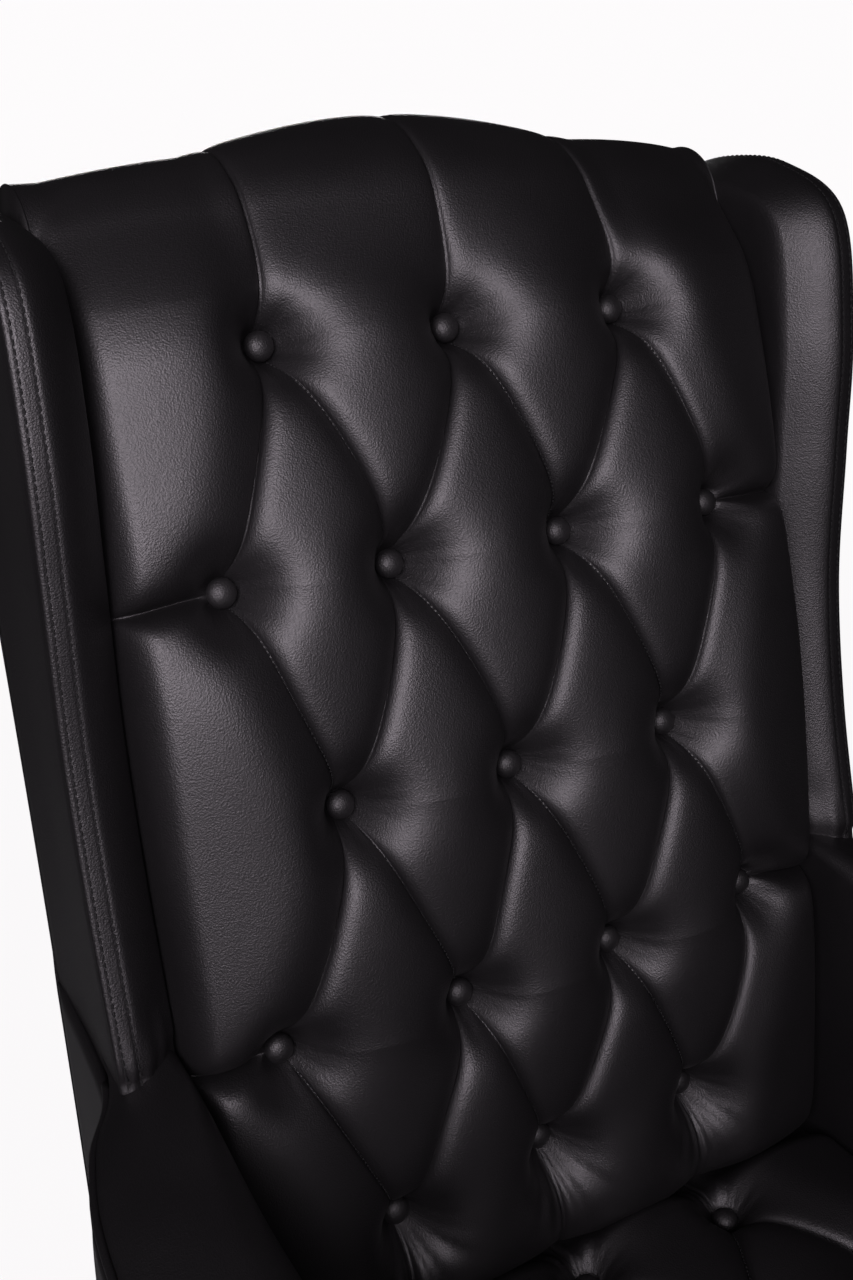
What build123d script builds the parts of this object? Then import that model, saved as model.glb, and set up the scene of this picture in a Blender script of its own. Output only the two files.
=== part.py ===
from build123d import *

import os
from math import atan2, cos, radians, sin, sqrt

# A buttoned wing armchair for the fireside, in millimetres.
# X runs to the sitter's left, Y to the back of the chair, Z up.
# While the pieces are made, Y is zero where the seat meets the inside back.

# Inside back: a slightly curved cushion that leans back and rolls over the crest
seat_height = 429.0
back_curve_radius = 2350.0
back_start_lean = 5.2
back_width = 500.0
crest_start = 742.0
crest_radius = 50.0
crest_hump = 20.0
crest_fall = 9.0
back_lift = 6.0
back_depth = 150.0

# Buttoning, the same on the back and the seat
column_pitch = 125.0
row_pitch = 143.7
lowest_row_rise = 88.6
button_diameter = 18.0
button_height = 6.0
button_seat = 20.0
button_sink = 4.0
pillow_height = 38.0
pleat_height = 27.0
crest_pillow = 2.0
pleat_width = 3.0
cover_base = 10.0
twine_width = 2.0
twine_hole = 2.8
knot_length = 8.0
knot_thickness = 1.6

# Layers behind the inside back
back_foam_thickness = 46.0
hessian_thickness = 1.2
webbing_thickness = 2.4
webbing_width = 50.0
outside_padding = 10.0

# Seat
seat_width = 504.0
seat_depth = 505.0
seat_slope = 2.5
seat_roll = 42.0
seat_drop = 24.0
seat_tail = 45.0
seat_tail_crown = 2.2
seat_row_start = 54.0
seat_row_front = 97.0
seat_row_count = 4
back_row_count = 5
seat_pillow = 28.0
seat_pleat_height = 18.0
seat_front_crown = 3.0
fit_gap = 0.3
same_place = 0.001

# Wooden frame
side_padding = 12.0
leg_height = 236.0
rail_height = 95.0
rail_thickness = 21.0
post_width = 38.0
board_thickness = 20.0
arm_rail_height = 22.0
arm_post_depth = 40.0
crest_rail_height = 84.0
tacking_rail_height = 50.0
tacking_rail_rise = 24.0
block_leg = 74.0
block_height = 40.0

# Wings
wing_top = 1160.0
wing_reach = 18.0
wing_fall = 16.0
wing_band = 45.0
wing_roll = 14.0
board_inset = 16.0
outside_wing_thickness = 5.0
outside_wing_inset = 24.0

# Arms
arm_height = 680.0
arm_fall = 6.0
arm_flare = 61.0
arm_round = 34.0
arm_outer_drop = 12.0
outside_arm_thickness = 5.0
outside_arm_swell = 9.0
facing_thickness = 6.0
piping_radius = 3.2

# Springs
spring_wire = 4.0
spring_width = 40.0
spring_pitch = 62.5
spring_count = 6
spring_bends = 11
clip_length = 22.0
clip_width = 14.0
clip_wall = 2.0

# Legs
leg_block = 60.0
leg_block_height = 34.0
rear_leg_top = 50.0
rear_leg_foot = 32.0
rear_leg_rake = 52.0
bolt_radius = 4.0
bolt_length = 92.0
nut_radius = 9.0
nut_height = 6.0
glide_radius = 11.0
glide_height = 4.0
dust_cover_thickness = 1.2

# How finely the round forms are faceted
pillow_steps = 4
edge_steps = 2
arc_steps = 4
button_sides = 10
leg_sides = 14
piping_sides = 6
nut_sides = 6

# Half columns that have buttons, in the rows of three and in the rows of four
even_strips = (-2, 0, 2)
odd_strips = (-3, -1, 1, 3)

# Sizes that follow from those above
half_back = back_width / 2
half_seat = seat_width / 2
strip_pitch = column_pitch / 2
rail_top = leg_height + rail_height
block_top = leg_height + block_height
post_outer = half_seat + side_padding
frame_outer = post_outer + rail_thickness
board_outer = post_outer + board_thickness
arm_inner = half_seat + fit_gap
wing_inner = half_back + fit_gap
wing_outer = wing_inner + wing_band
hessian_depth = cover_base + back_foam_thickness
webbing_depth = hessian_depth + hessian_thickness + fit_gap
frame_depth = webbing_depth + webbing_thickness
seat_row_pitch = (seat_depth - seat_row_start - seat_row_front) / (seat_row_count - 1)

# How the forms swell and turn, as shares of their sizes and as angles
side_seam_share = 0.62
side_crown_share = 0.86
side_pinch_share = 0.55
edge_bulge_share = 0.42
edge_fill_share = 0.3
fold_share = 0.7
fold_rise_power = 3
shoulder_bulge_share = 0.34
station_shares = (0.3, 0.5, 0.7)
button_shares = ((1, 0), (0.93, 0.5), (0.6, 0.88), (0.2, 1))
foot_shares = ((0, 0.06), (0.2, 0.36), (0.5, 0.8))
tail_shares = ((0.16, 0.08), (0.34, 0.36), (0.58, 0.78))
shoulder_shares = ((0.42, 0.86, 0.1), (0.72, 0.6, 0.35), (1, 0.36, 0.75))
roll_shares = ((28, 1.12, 1), (60, 1, 1), (92, 0.9, 0.8), (125, 0.6, 0.4), (155, 0.3, 0.1), (180, 0, 0))
front_shares = ((0, 0.8), (0.3, 0.6), (0.62, 0.45), (1, 0.36))
wing_low_shares = ((0, 0), (0.06, 0.2), (0.102, 0.4))
wing_high_shares = ((0.102, 0.4), (0.117, 0.6), (0.131, 0.78))
wing_corner_shares = ((0.131, 0.78), (0.178, 0.945), (0.3, 1))
arm_place_shares = (0, 0.19, 0.28, 0.4, 0.66, 1)
arm_flare_shares = (0, 0.15, 0.6, 0.88, 0.97, 1)
arm_shoulder_share = 0.55
outside_arm_bow_share = 0.74
leg_height_shares = (1, 0.93, 0.84, 0.73, 0.6, 0.47, 0.34, 0.22, 0.14, 0.1, 0.075, 0.035, 0)
leg_radius_shares = (0.49, 0.53, 0.56, 0.54, 0.47, 0.39, 0.33, 0.29, 0.3, 0.36, 0.5, 0.54, 0.43)
leg_bow_shares = (0, 0.05, 0.12, 0.18, 0.19, 0.14, 0.07, 0.02, 0.02, 0.05, 0.06, 0.06, 0.06)
glide_shares = ((0.8, 0), (1, 0.4), (1, 1))

pieces = {}


# Lines that the cushions follow


def outward(lean):
    """Direction square to a surface that leans back by an angle in radians."""
    return Vector(0, -cos(lean), sin(lean))


def back_line(along):
    """Point and outward direction on the pleat line of the back, by length from the seat."""
    start = radians(back_start_lean)
    centre = Vector(0, 0, seat_height) - outward(start) * back_curve_radius
    if along <= crest_start:
        direction = outward(start + along / back_curve_radius)
        return centre + direction * back_curve_radius, direction
    top_lean = start + crest_start / back_curve_radius
    top = centre + outward(top_lean) * back_curve_radius
    roll_centre = top - outward(top_lean) * crest_radius
    direction = outward(top_lean + (along - crest_start) / crest_radius)
    return roll_centre + direction * crest_radius, direction


def seat_line(along):
    """Point and outward direction on the pleat line of the seat, by length from the back."""
    slope = radians(seat_slope)
    up = Vector(0, sin(slope), cos(slope))
    forward = Vector(0, -cos(slope), sin(slope))
    roll_start = (seat_depth - seat_roll) / cos(slope)
    quarter = radians(90) + slope
    start = Vector(0, 0, seat_height)
    if along <= roll_start:
        return start + forward * along, up
    roll_centre = start + forward * roll_start - up * seat_roll
    turn = min((along - roll_start) / seat_roll, quarter)
    direction = Vector(0, sin(slope - turn), cos(slope - turn))
    down = max(along - roll_start - quarter * seat_roll, 0)
    return roll_centre + direction * seat_roll - Vector(0, 0, down), direction


def back_thickness(along):
    """Depth of the whole back, square to the pleat line."""
    taper = back_depth - 2 * crest_radius
    return back_depth - taper * (along / crest_start) ** 2


def seat_front():
    """Front of the wooden frame, behind the seat cushion's rolled edge."""
    roll_start = (seat_depth - seat_roll) / cos(radians(seat_slope))
    origin, direction = seat_line(roll_start + radians(90 + seat_slope) * seat_roll)
    return origin.Y + cover_base


front_plane = seat_front()
back_rows = [lowest_row_rise + row_pitch * count for count in range(back_row_count)]
seat_rows = [seat_row_start + seat_row_pitch * count for count in range(seat_row_count)]


# Faceted forms


def triangles(corners):
    """Two flat triangles on four corners, leaving out one that has no area."""
    faces = []
    for ring in (corners[:3], (corners[0], corners[2], corners[3])):
        sides = [(ring[index] - ring[index - 1]).length for index in range(3)]
        if min(sides) > same_place:
            faces.append(Face(Wire.make_polygon(ring)))
    return faces


def skin(sections):
    """Solid through flat sections that have the same number of points, with flat facets between them."""
    faces = [Face(Wire.make_polygon(sections[0])), Face(Wire.make_polygon(sections[-1]))]
    for first, second in zip(sections, sections[1:]):
        for index in range(len(first)):
            before = index - 1
            faces += triangles((first[before], first[index], second[index], second[before]))
    return Solid(Shell(faces))


def points_on(edges):
    """Points along a run of arcs, with both its ends."""
    points = []
    for edge in edges:
        points += [edge @ (step / arc_steps) for step in range(arc_steps)]
    return points + [edges[-1] @ 1]


def ring(centre, radius, sides):
    """Level ring of points round a centre."""
    turns = [radians(360 * side / sides) for side in range(sides)]
    return [centre + Vector(cos(turn), sin(turn), 0) * radius for turn in turns]


def square(centre, width):
    """Level square round a centre."""
    half = width / 2
    return [centre + Vector(x, y, 0) for x, y in ((half, half), (-half, half), (-half, -half), (half, -half))]


# Buttoned cushions


def crest_rise(x, share):
    """Camel line of the crest: a hump in the middle that falls towards the wings."""
    reach = column_pitch + crest_hump
    if abs(x) < reach:
        return share * crest_hump * (1 - (x / reach) ** 2)
    return -share * crest_fall * (abs(x) - reach) / (half_back - reach)


def cushion_section(line, along, half_width, phase, narrow, crown, valley, side, hump):
    """Points round a buttoned cushion, square to its line.

    Phase 0 is a row with buttons on the even strips, and 1 a row with them on the odd ones.
    """
    origin, direction = line(along)

    def at(x, height):
        return origin + Vector(x, 0, 0) + direction * (height + crest_rise(x, hump))

    last = odd_strips[-1]
    seams = []
    for strip in range(-last, last):
        even = strip if strip % 2 == 0 else strip + 1
        odd = strip + 1 if strip % 2 == 0 else strip
        towards = 1 if odd > even else -1
        from_even = even * strip_pitch + towards * narrow / 2
        from_odd = odd * strip_pitch - towards * narrow / 2
        seams.append(from_even + (from_odd - from_even) * phase)
    outer_even = half_width - (half_width - last * strip_pitch) * side_seam_share
    outer_odd = last * strip_pitch + narrow / 2
    outer = outer_even + (outer_odd - outer_even) * phase
    wide = strip_pitch * 2 - narrow
    places = [-half_width, -outer] + seams + [outer, half_width]
    heights = [-button_sink, side] + [valley] * len(seams) + [side, -button_sink]
    spans = len(places) - 1
    points = []
    for index in range(spans):
        left, right = places[index], places[index + 1]
        bulge = max(right - left - narrow, 0) / (wide - narrow) * (crown - valley)
        steps = pillow_steps
        if index in (0, spans - 1):
            pinched = crown * side_crown_share - side
            bulge = max(side + button_sink, 0) * edge_bulge_share + pinched * edge_fill_share
            steps = edge_steps
        elif index in (1, spans - 2):
            bulge = bulge * shoulder_bulge_share
        for step in range(steps):
            share = step / steps
            base = heights[index] + (heights[index + 1] - heights[index]) * share
            points.append(at(left + (right - left) * share, base + bulge * (1 - (2 * share - 1) ** 2)))
    points.append(at(half_width, -button_sink))
    under = [origin + Vector(x, 0, 0) - direction * cover_base for x in (half_width, -half_width)]
    return points + under


def row_stations(rows, pitch, fold_height):
    """Places between the button rows, as (length, phase, pleat height, share of the side crown)."""
    flat_share = button_seat / 2 / pitch
    stations = []
    for index in range(len(rows) - 1):
        for share in (flat_share, *station_shares, 1 - flat_share):
            travel = (share - flat_share) / (1 - 2 * flat_share)
            phase = travel if index % 2 == 0 else 1 - travel
            side_share = 1 - side_pinch_share * phase ** 2 if phase < 1 - same_place else 0
            pinch = abs(2 * phase - 1) ** fold_rise_power
            valley = fold_height * (1 - pinch) - button_sink * pinch
            along = rows[index] + share * (rows[index + 1] - rows[index])
            stations.append((along, phase, valley, side_share))
    return stations


def button_places(rows):
    """Every button as (x, length along the cushion)."""
    places = []
    for index, row in enumerate(rows):
        strips = even_strips if index % 2 == 0 else odd_strips
        places += [(strip * strip_pitch, row) for strip in strips]
    return places


def frame_at(line, x, along):
    """Plane that lies on the cushion, its Z axis pointing out of it."""
    origin, direction = line(along)
    return Plane(origin=origin + Vector(x, 0, 0), x_dir=Vector(1, 0, 0), z_dir=direction)


def cut_twine_holes(solid, line, rows, reach):
    """Square holes for the button twines, through everything down to a depth."""
    holes = []
    for x, along in button_places(rows):
        hole = Box(twine_hole, twine_hole, reach + 2 * cover_base)
        holes.append(frame_at(line, x, along) * hole)
    return solid - holes


def buttons(line, rows):
    """Covered buttons, domed, each on its flat in the cushion."""
    radius = button_diameter / 2
    rings = []
    for across_share, up_share in button_shares:
        centre = Vector(0, 0, button_height * up_share - button_sink)
        rings.append(ring(centre, radius * across_share, button_sides))
    dome = skin(rings)
    return [frame_at(line, x, along) * dome for x, along in button_places(rows)]


def twines(line, rows, depth):
    """Twine from each button through the filling to a knot behind the hessian."""
    run = depth + fit_gap / 2 - button_sink
    strand = Pos(0, 0, -button_sink - run / 2) * Box(twine_width, twine_width, run)
    knot_depth = depth + fit_gap / 2 + knot_thickness / 2
    knot = Pos(0, 0, -knot_depth) * Box(knot_length, knot_length / 2, knot_thickness)
    tied = strand + knot
    return [frame_at(line, x, along) * tied for x, along in button_places(rows)]


def back_stations():
    """Every section of the inside back, as the values that cushion_section takes."""
    stations = []
    side_crown = pillow_height * side_crown_share
    flat = button_seat / 2
    for rise_share, crown_share in foot_shares:
        along = back_lift + (lowest_row_rise - back_lift) * rise_share
        crown = pillow_height * crown_share
        stations.append((along, 0, pleat_width, crown, crown * fold_share, side_crown * crown_share, 0))
    stations.append((back_rows[0] - flat, 0, button_seat, pillow_height, -button_sink, side_crown, 0))
    for along, phase, valley, side_share in row_stations(back_rows, row_pitch, pleat_height):
        side = side_crown * side_share - button_sink * (1 - side_share)
        stations.append((along, phase, button_seat, pillow_height, valley, side, 0))
    top_row = back_rows[-1]
    stations.append((top_row + flat, 0, button_seat, pillow_height, -button_sink, side_crown, 0))
    for rise_share, crown_share, hump_share in shoulder_shares:
        along = top_row + (crest_start - top_row) * rise_share
        crown = crest_pillow + (pillow_height - crest_pillow) * crown_share
        valley = crown * fold_share
        stations.append((along, 0, pleat_width, crown, valley, crown * side_crown_share, hump_share))
    for turn, crown_share, hump_share in roll_shares:
        along = crest_start + radians(turn) * crest_radius
        crown = crest_pillow * crown_share
        valley = crown * fold_share
        stations.append((along, 0, pleat_width, crown, valley, crown * side_crown_share, hump_share))
    return stations


def seat_stations():
    """Every section of the seat cushion, as the values that cushion_section takes."""
    stations = []
    side_crown = seat_pillow * side_crown_share
    flat = button_seat / 2
    low = -seat_tail_crown
    stations.append((-seat_tail, 0, pleat_width, low, low, low, 0))
    stations.append((0, 0, pleat_width, seat_tail_crown, 0, seat_tail_crown, 0))
    for along_share, crown_share in tail_shares:
        along = seat_row_start * along_share
        crown = seat_pillow * crown_share
        stations.append((along, 0, pleat_width, crown, crown * fold_share, side_crown * crown_share, 0))
    stations.append((seat_rows[0] - flat, 0, button_seat, seat_pillow, -button_sink, side_crown, 0))
    for along, phase, valley, side_share in row_stations(seat_rows, seat_row_pitch, seat_pleat_height):
        side = side_crown * side_share - button_sink * (1 - side_share)
        stations.append((along, phase, button_seat, seat_pillow, valley, side, 0))
    last_row = seat_rows[-1]
    stations.append((last_row + flat, 1, button_seat, seat_pillow, -button_sink, -button_sink, 0))
    roll_start = (seat_depth - seat_roll) / cos(radians(seat_slope))
    middle = last_row + flat + (roll_start - last_row - flat) / 2
    valley = seat_pillow * fold_share
    stations.append((middle, 1, pleat_width, seat_pillow, valley, side_crown * side_crown_share, 0))
    quarter = radians(90 + seat_slope) * seat_roll
    for turn_share, crown_share in front_shares:
        along = roll_start + quarter * turn_share
        crown = seat_pillow * crown_share
        valley = crown * fold_share
        stations.append((along, 1, pleat_width, crown, valley, crown * side_crown_share, 0))
    end = roll_start + quarter + seat_drop
    stations.append((end, 1, pleat_width, seat_front_crown, 0, seat_front_crown, 0))
    return stations


def make_cushion(line, stations, half_width, rows):
    """Buttoned cover with its filling, through all its sections, with the twine holes."""
    sections = []
    for along, phase, narrow, crown, valley, side, hump in stations:
        section = cushion_section(line, along, half_width, phase, narrow, crown, valley, side, hump)
        sections.append(section)
    return cut_twine_holes(skin(sections), line, rows, cover_base)


def make_cushions():
    """Buttoned covers of the back and the seat, with their buttons and twines."""
    pieces["inside_back"] = make_cushion(back_line, back_stations(), half_back, back_rows)
    pieces["seat_cover"] = make_cushion(seat_line, seat_stations(), half_seat, seat_rows)
    pieces["back_buttons"] = Compound(buttons(back_line, back_rows))
    pieces["seat_buttons"] = Compound(buttons(seat_line, seat_rows))
    pieces["back_twines"] = Compound(twines(back_line, back_rows, webbing_depth))
    pieces["seat_twines"] = Compound(seat_twines())


def under_cushion(line, stations):
    """Points along the underside of a cushion, one for each of its sections."""
    places = [line(station[0]) for station in stations]
    return [origin - direction * cover_base for origin, direction in places]


def run_of_lines(points):
    return [Edge.make_line(first, last) for first, last in zip(points, points[1:])]


# Layers behind the back and under the seat


def back_point(along, depth):
    """Point at a depth behind the pleat line."""
    origin, direction = back_line(along)
    return origin - direction * depth


def back_front_arc(start, end, depth):
    return Edge.make_three_point_arc(
        back_point(start, depth), back_point((start + end) / 2, depth), back_point(end, depth)
    )


def rear_at(height, inset):
    """Point at a height on the chair's rear line, or an inset in front of it."""
    places = (0, crest_start / 2, crest_start)
    line = Edge.make_three_point_arc(*[back_point(s, back_thickness(s)) for s in places])
    centre = line.arc_center
    reach = line.radius + inset
    return Vector(0, centre.Y - sqrt(reach ** 2 - (height - centre.Z) ** 2), height)


def rear_arc(first, last, inset):
    """Arc along the rear line, between two heights."""
    return Edge.make_three_point_arc(*[rear_at(z, inset) for z in (first, (first + last) / 2, last)])


def rear_height(along):
    """Height of the rear line square behind a place on the pleat line."""
    return back_point(along, back_thickness(along)).Z


def between(first, last):
    return Edge.make_line(first @ 1, last @ 0)


def outline_face(edges):
    """Face inside a ring of edges, closed with lines where the edges leave a gap."""
    closed = []
    for index, edge in enumerate(edges):
        following = edges[(index + 1) % len(edges)]
        closed.append(edge)
        if (edge @ 1 - following @ 0).length > same_place:
            closed.append(between(edge, following))
    return Face(Wire(closed))


def across(face, low, high):
    """Extrude a side profile across the chair, between two X places."""
    solid = extrude(Pos(low, 0, 0) * face, amount=high - low, dir=(1, 0, 0))
    return solid


def back_slab(start, end, front, rear, low, high):
    """Slab that follows the back, between two depths and two X places."""
    front_edge = back_front_arc(start, end, front)
    rear_edge = back_front_arc(end, start, rear)
    return across(outline_face([front_edge, rear_edge]), low, high)


def back_frame_face(start, end, front, inset):
    """Side profile from a depth behind the pleat line to an inset from the rear."""
    front_edge = back_front_arc(start, end, front)
    return outline_face([front_edge, rear_arc(rear_height(end), rear_height(start), inset)])


def behind_frame():
    """Everything behind the frame's rear face, on the right."""
    arc = rear_arc(0, wing_top, outside_padding)
    far = back_curve_radius
    corners = [arc @ 1, Vector(0, (arc @ 1).Y, far), Vector(0, far, far), Vector(0, far, (arc @ 0).Z)]
    return across(outline_face([arc] + run_of_lines(corners)), 0, far)


def box_between(low, high):
    """Box from its lowest to its highest corner."""
    size = [high[axis] - low[axis] for axis in range(3)]
    centre = [(high[axis] + low[axis]) / 2 for axis in range(3)]
    return Pos(*centre) * Box(*size)


def plate(points, bottom, top):
    """Flat board from plan points, between two heights."""
    return extrude(Pos(0, 0, bottom) * make_face(Polyline(*points, close=True)), amount=top - bottom)


def both_sides(name, solid):
    """Keep a right-hand piece and its mirror image."""
    pieces[name + "_right"] = solid
    pieces[name + "_left"] = mirror(solid, about=Plane.YZ)


def make_back_layers():
    """Filling, hessian and webbing between the cover and the posts."""
    under = under_cushion(back_line, [s for s in back_stations() if s[0] <= crest_start])
    over = []
    for turn, crown_share, hump_share in roll_shares:
        origin, direction = back_line(crest_start + radians(turn) * crest_radius)
        over.append(origin - direction * cover_base)
    profile = run_of_lines(under + over)
    profile.append(back_front_arc(crest_start, back_lift, hessian_depth))
    foam = across(outline_face(profile), -half_back, half_back)
    pieces["back_filling"] = cut_twine_holes(foam, back_line, back_rows, 2 * hessian_depth)
    hessian_rear = webbing_depth - fit_gap
    hessian = back_slab(-seat_drop, crest_start, hessian_depth, hessian_rear, -post_outer, post_outer)
    pieces["back_hessian"] = cut_twine_holes(hessian, back_line, back_rows, 2 * webbing_depth)
    straps = []
    for index in range(len(back_rows) - 1):
        middle = (back_rows[index] + back_rows[index + 1]) / 2
        start, end = middle - webbing_width / 2, middle + webbing_width / 2
        straps.append(back_slab(start, end, webbing_depth, frame_depth, -post_outer, post_outer))
    pieces["back_webbing"] = Compound(straps)


def make_back_frame():
    """Posts, crest rail and lower rail of the back."""
    inner = post_outer - post_width
    low = leg_height - seat_height - rail_height
    profile = back_frame_face(low, crest_start, frame_depth, outside_padding)
    post = across(profile, inner, post_outer)
    reach = back_curve_radius
    above = box_between((0, -reach, leg_height), (reach, reach, reach))
    both_sides("back_post", post & above)
    rail_start = crest_start - crest_rail_height
    crest = back_frame_face(rail_start, crest_start, frame_depth, outside_padding)
    pieces["crest_rail"] = across(crest, -inner, inner)
    start = tacking_rail_rise
    end = start + tacking_rail_height
    rail_rear = frame_depth + rail_thickness
    pieces["lower_back_rail"] = back_slab(start, end, frame_depth, rail_rear, -inner, inner)


def make_seat_frame():
    """Seat rails and corner blocks."""
    rear = front_plane + rail_thickness
    pieces["front_seat_rail"] = box_between(
        (-frame_outer, front_plane, leg_height), (frame_outer, rear, rail_top)
    )
    past_rear = back_point(0, back_depth).Y
    side = box_between((post_outer, rear, leg_height), (frame_outer, past_rear, rail_top))
    both_sides("side_seat_rail", side - behind_frame())
    inner = post_outer - post_width
    rail_rear = rear_arc(leg_height, rail_top, outside_padding)
    rail_front = rear_arc(rail_top, leg_height, outside_padding + rail_thickness)
    pieces["back_seat_rail"] = across(outline_face([rail_rear, rail_front]), -inner, inner)
    post_front = back_point(leg_height - seat_height, frame_depth).Y
    blocks = []
    for hand in (-1, 1):
        corner = hand * post_outer
        tip = hand * (post_outer - block_leg)
        blocks.append(plate([(corner, rear), (tip, rear), (corner, rear + block_leg)], leg_height, block_top))
        back = [(corner, post_front), (tip, post_front), (corner, post_front - block_leg)]
        blocks.append(plate(back, leg_height, block_top))
    return blocks


def make_seat_suspension():
    """Zigzag springs, their clips, the hessian and the seat filling."""
    front = front_plane + rail_thickness / 2
    rear = rear_at(rail_top, outside_padding + rail_thickness / 2).Y
    wire_low = rail_top + clip_wall
    step = (rear - front) / spring_bends
    zigzag = []
    for bend in range(spring_bends + 1):
        hand = 1 if bend % 2 == 0 else -1
        reach = (spring_width - spring_wire) / 2
        corner = step / 4
        inside = reach - corner
        y = front + step * bend
        zigzag.append((hand * inside, y - corner if bend > 0 else y))
        zigzag.append((hand * reach, y))
        zigzag.append((hand * inside, y + corner if bend < spring_bends else y))
    points = [zigzag[0]]
    for place in zigzag[1:]:
        if place != points[-1]:
            points.append(place)
    flat = trace(Polyline(*points), line_width=spring_wire)
    spring = extrude(Pos(0, 0, wire_low) * flat, amount=spring_wire)
    springs = []
    clips = []
    clip_block = Box(clip_length, clip_width, spring_wire + 2 * clip_wall)
    clip_mouth = Box(clip_length + 2 * clip_wall, clip_width, spring_wire + 2 * fit_gap)
    clip = clip_block - Pos(0, clip_wall, 0) * clip_mouth
    for index in range(spring_count):
        x = (index - (spring_count - 1) / 2) * spring_pitch
        springs.append(Pos(x, 0, 0) * spring)
        height = wire_low + spring_wire / 2
        hook = (spring_width - clip_length) / 2 - spring_wire
        clips.append(Pos(x + hook, front, height) * clip)
        last_hand = 1 if spring_bends % 2 == 0 else -1
        clips.append(Pos(x + last_hand * hook, rear, height) * Rot(0, 0, 180) * clip)
    pieces["seat_springs"] = Compound(springs)
    pieces["spring_clips"] = Compound(clips)
    cloth_low = wire_low + spring_wire + clip_wall
    cloth_top = cloth_low + hessian_thickness
    cloth_half = post_outer - post_width
    cloth = box_between((-cloth_half, front_plane, cloth_low), (cloth_half, rear, cloth_top))
    pieces["seat_hessian"] = cut_twine_holes(cloth, seat_line, seat_rows, 2 * seat_height)
    points = under_cushion(seat_line, seat_stations())
    below = [Vector(0, points[-1].Y, cloth_top), Vector(0, points[0].Y, cloth_top), points[0]]
    filling = across(outline_face(run_of_lines(points + below)), -half_seat, half_seat)
    pieces["seat_filling"] = cut_twine_holes(filling, seat_line, seat_rows, 2 * seat_height)


def seat_twines():
    """Twine from each seat button, square to the seat, to a knot under the hessian."""
    cloth_low = rail_top + clip_wall + spring_wire + clip_wall
    tied = []
    for x, along in button_places(seat_rows):
        origin, direction = seat_line(along)
        run = (origin.Z - cloth_low) / direction.Z - button_sink
        strand = Pos(0, 0, -button_sink - run / 2) * Box(twine_width, twine_width, run)
        end = origin - direction * (button_sink + run)
        knot_middle = cloth_low - knot_thickness / 2
        knot = Pos(x, end.Y, knot_middle) * Box(knot_length, knot_length / 2, knot_thickness)
        tied.append(frame_at(seat_line, x, along) * strand + knot)
    return tied


# Wings


def wing_edges(inset):
    """Front and top edge of a wing in side view, drawn in by an inset."""
    rise = wing_top - arm_height
    foot = back_point(arm_height - seat_height, 0).Y - wing_reach

    def place(shares):
        forward_share, up_share = shares
        y = foot + inset + rise * forward_share
        return Vector(0, y, arm_height + rise * up_share - inset * up_share ** 4)

    edges = []
    for table in (wing_low_shares, wing_high_shares, wing_corner_shares):
        edges.append(Edge.make_three_point_arc(*[place(shares) for shares in table]))
    crown = edges[-1] @ 1
    rear = rear_at(wing_top - wing_fall, outside_padding)
    end = Vector(0, rear.Y, wing_top - wing_fall - inset)
    bow = Vector(0, (crown.Y + end.Y) / 2, (crown.Z + end.Z) / 2 + wing_fall / 2)
    edges.append(Edge.make_three_point_arc(crown, bow, end))
    return edges


def wing_section(x, inset):
    """Points round the side outline of a padded wing, at an X place."""
    points = points_on(wing_edges(inset))
    points.append(Vector(0, points[-1].Y, arm_height))
    return [point + Vector(x, 0, 0) for point in points]


def wing_board_face(inset):
    """Side profile of a wing board, from the arm rail up, running past the chair's rear."""
    edges = wing_edges(inset)
    low = arm_rail_top()
    top_rear = edges[-1] @ 1
    far = top_rear.Y + crest_radius
    corners = [Vector(0, far, top_rear.Z), Vector(0, far, low), Vector(0, (edges[0] @ 0).Y, low)]
    return outline_face(edges + run_of_lines(corners))


def make_wings():
    """Wing boards, their padding and the panels outside them."""
    half_roll = radians(45)
    near = wing_roll * (1 - sin(half_roll))
    places = (
        (wing_inner, wing_roll),
        (wing_inner + near, near),
        (wing_inner + wing_roll, 0),
        (wing_outer - wing_roll, 0),
        (wing_outer - near, near),
        (wing_outer, wing_roll),
    )
    padding = skin([wing_section(x, inset) for x, inset in places])
    rear = behind_frame()
    panel_outer = board_outer + outside_wing_thickness
    board = across(wing_board_face(board_inset), post_outer, board_outer) - rear
    panel = across(wing_board_face(outside_wing_inset), board_outer, panel_outer) - rear
    outside_space = across(wing_board_face(outside_wing_inset), board_outer, back_curve_radius)
    post_space = across(back_frame_face(0, crest_start, hessian_depth, 0), 0, post_outer)
    padding = padding - rear - board - outside_space - post_space
    both_sides("wing_padding", padding)
    both_sides("wing_board", board)
    both_sides("outside_wing", panel)


# Arms


def arm_rear():
    """Rear of the arm at its top, where the back has leaned furthest."""
    along = arm_height - seat_height
    return back_point(along, back_thickness(along)).Y


def arm_places():
    """Stations along the arm, from the back to the front, as (y, outer x, top)."""
    rear = arm_rear()
    places = []
    for share, flare in zip(arm_place_shares, arm_flare_shares):
        y = rear + (front_plane - rear) * share
        top = arm_height - arm_fall * share
        places.append((y, frame_outer + arm_flare * flare, top))
    return places


def arm_top_edges(y, outer, top):
    """The arm's rounded top, from its inner shoulder to the piped edge."""
    radius = min(arm_round, (outer - arm_inner) * arm_shoulder_share)
    span = outer - arm_inner - radius
    swell = (span ** 2 + arm_outer_drop ** 2) / (2 * arm_outer_drop)
    half_turn = atan2(span, swell - arm_outer_drop) / 2
    eighth = radius * (1 - cos(radians(45)))
    inner_low = Vector(arm_inner, y, top - radius)
    inner_bow = Vector(arm_inner + eighth, y, top - eighth)
    crown = Vector(arm_inner + radius, y, top)
    outer_bow = Vector(crown.X + swell * sin(half_turn), y, top - swell * (1 - cos(half_turn)))
    edge = Vector(outer, y, top - arm_outer_drop)
    return [
        Edge.make_three_point_arc(inner_low, inner_bow, crown),
        Edge.make_three_point_arc(crown, outer_bow, edge),
    ]


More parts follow.
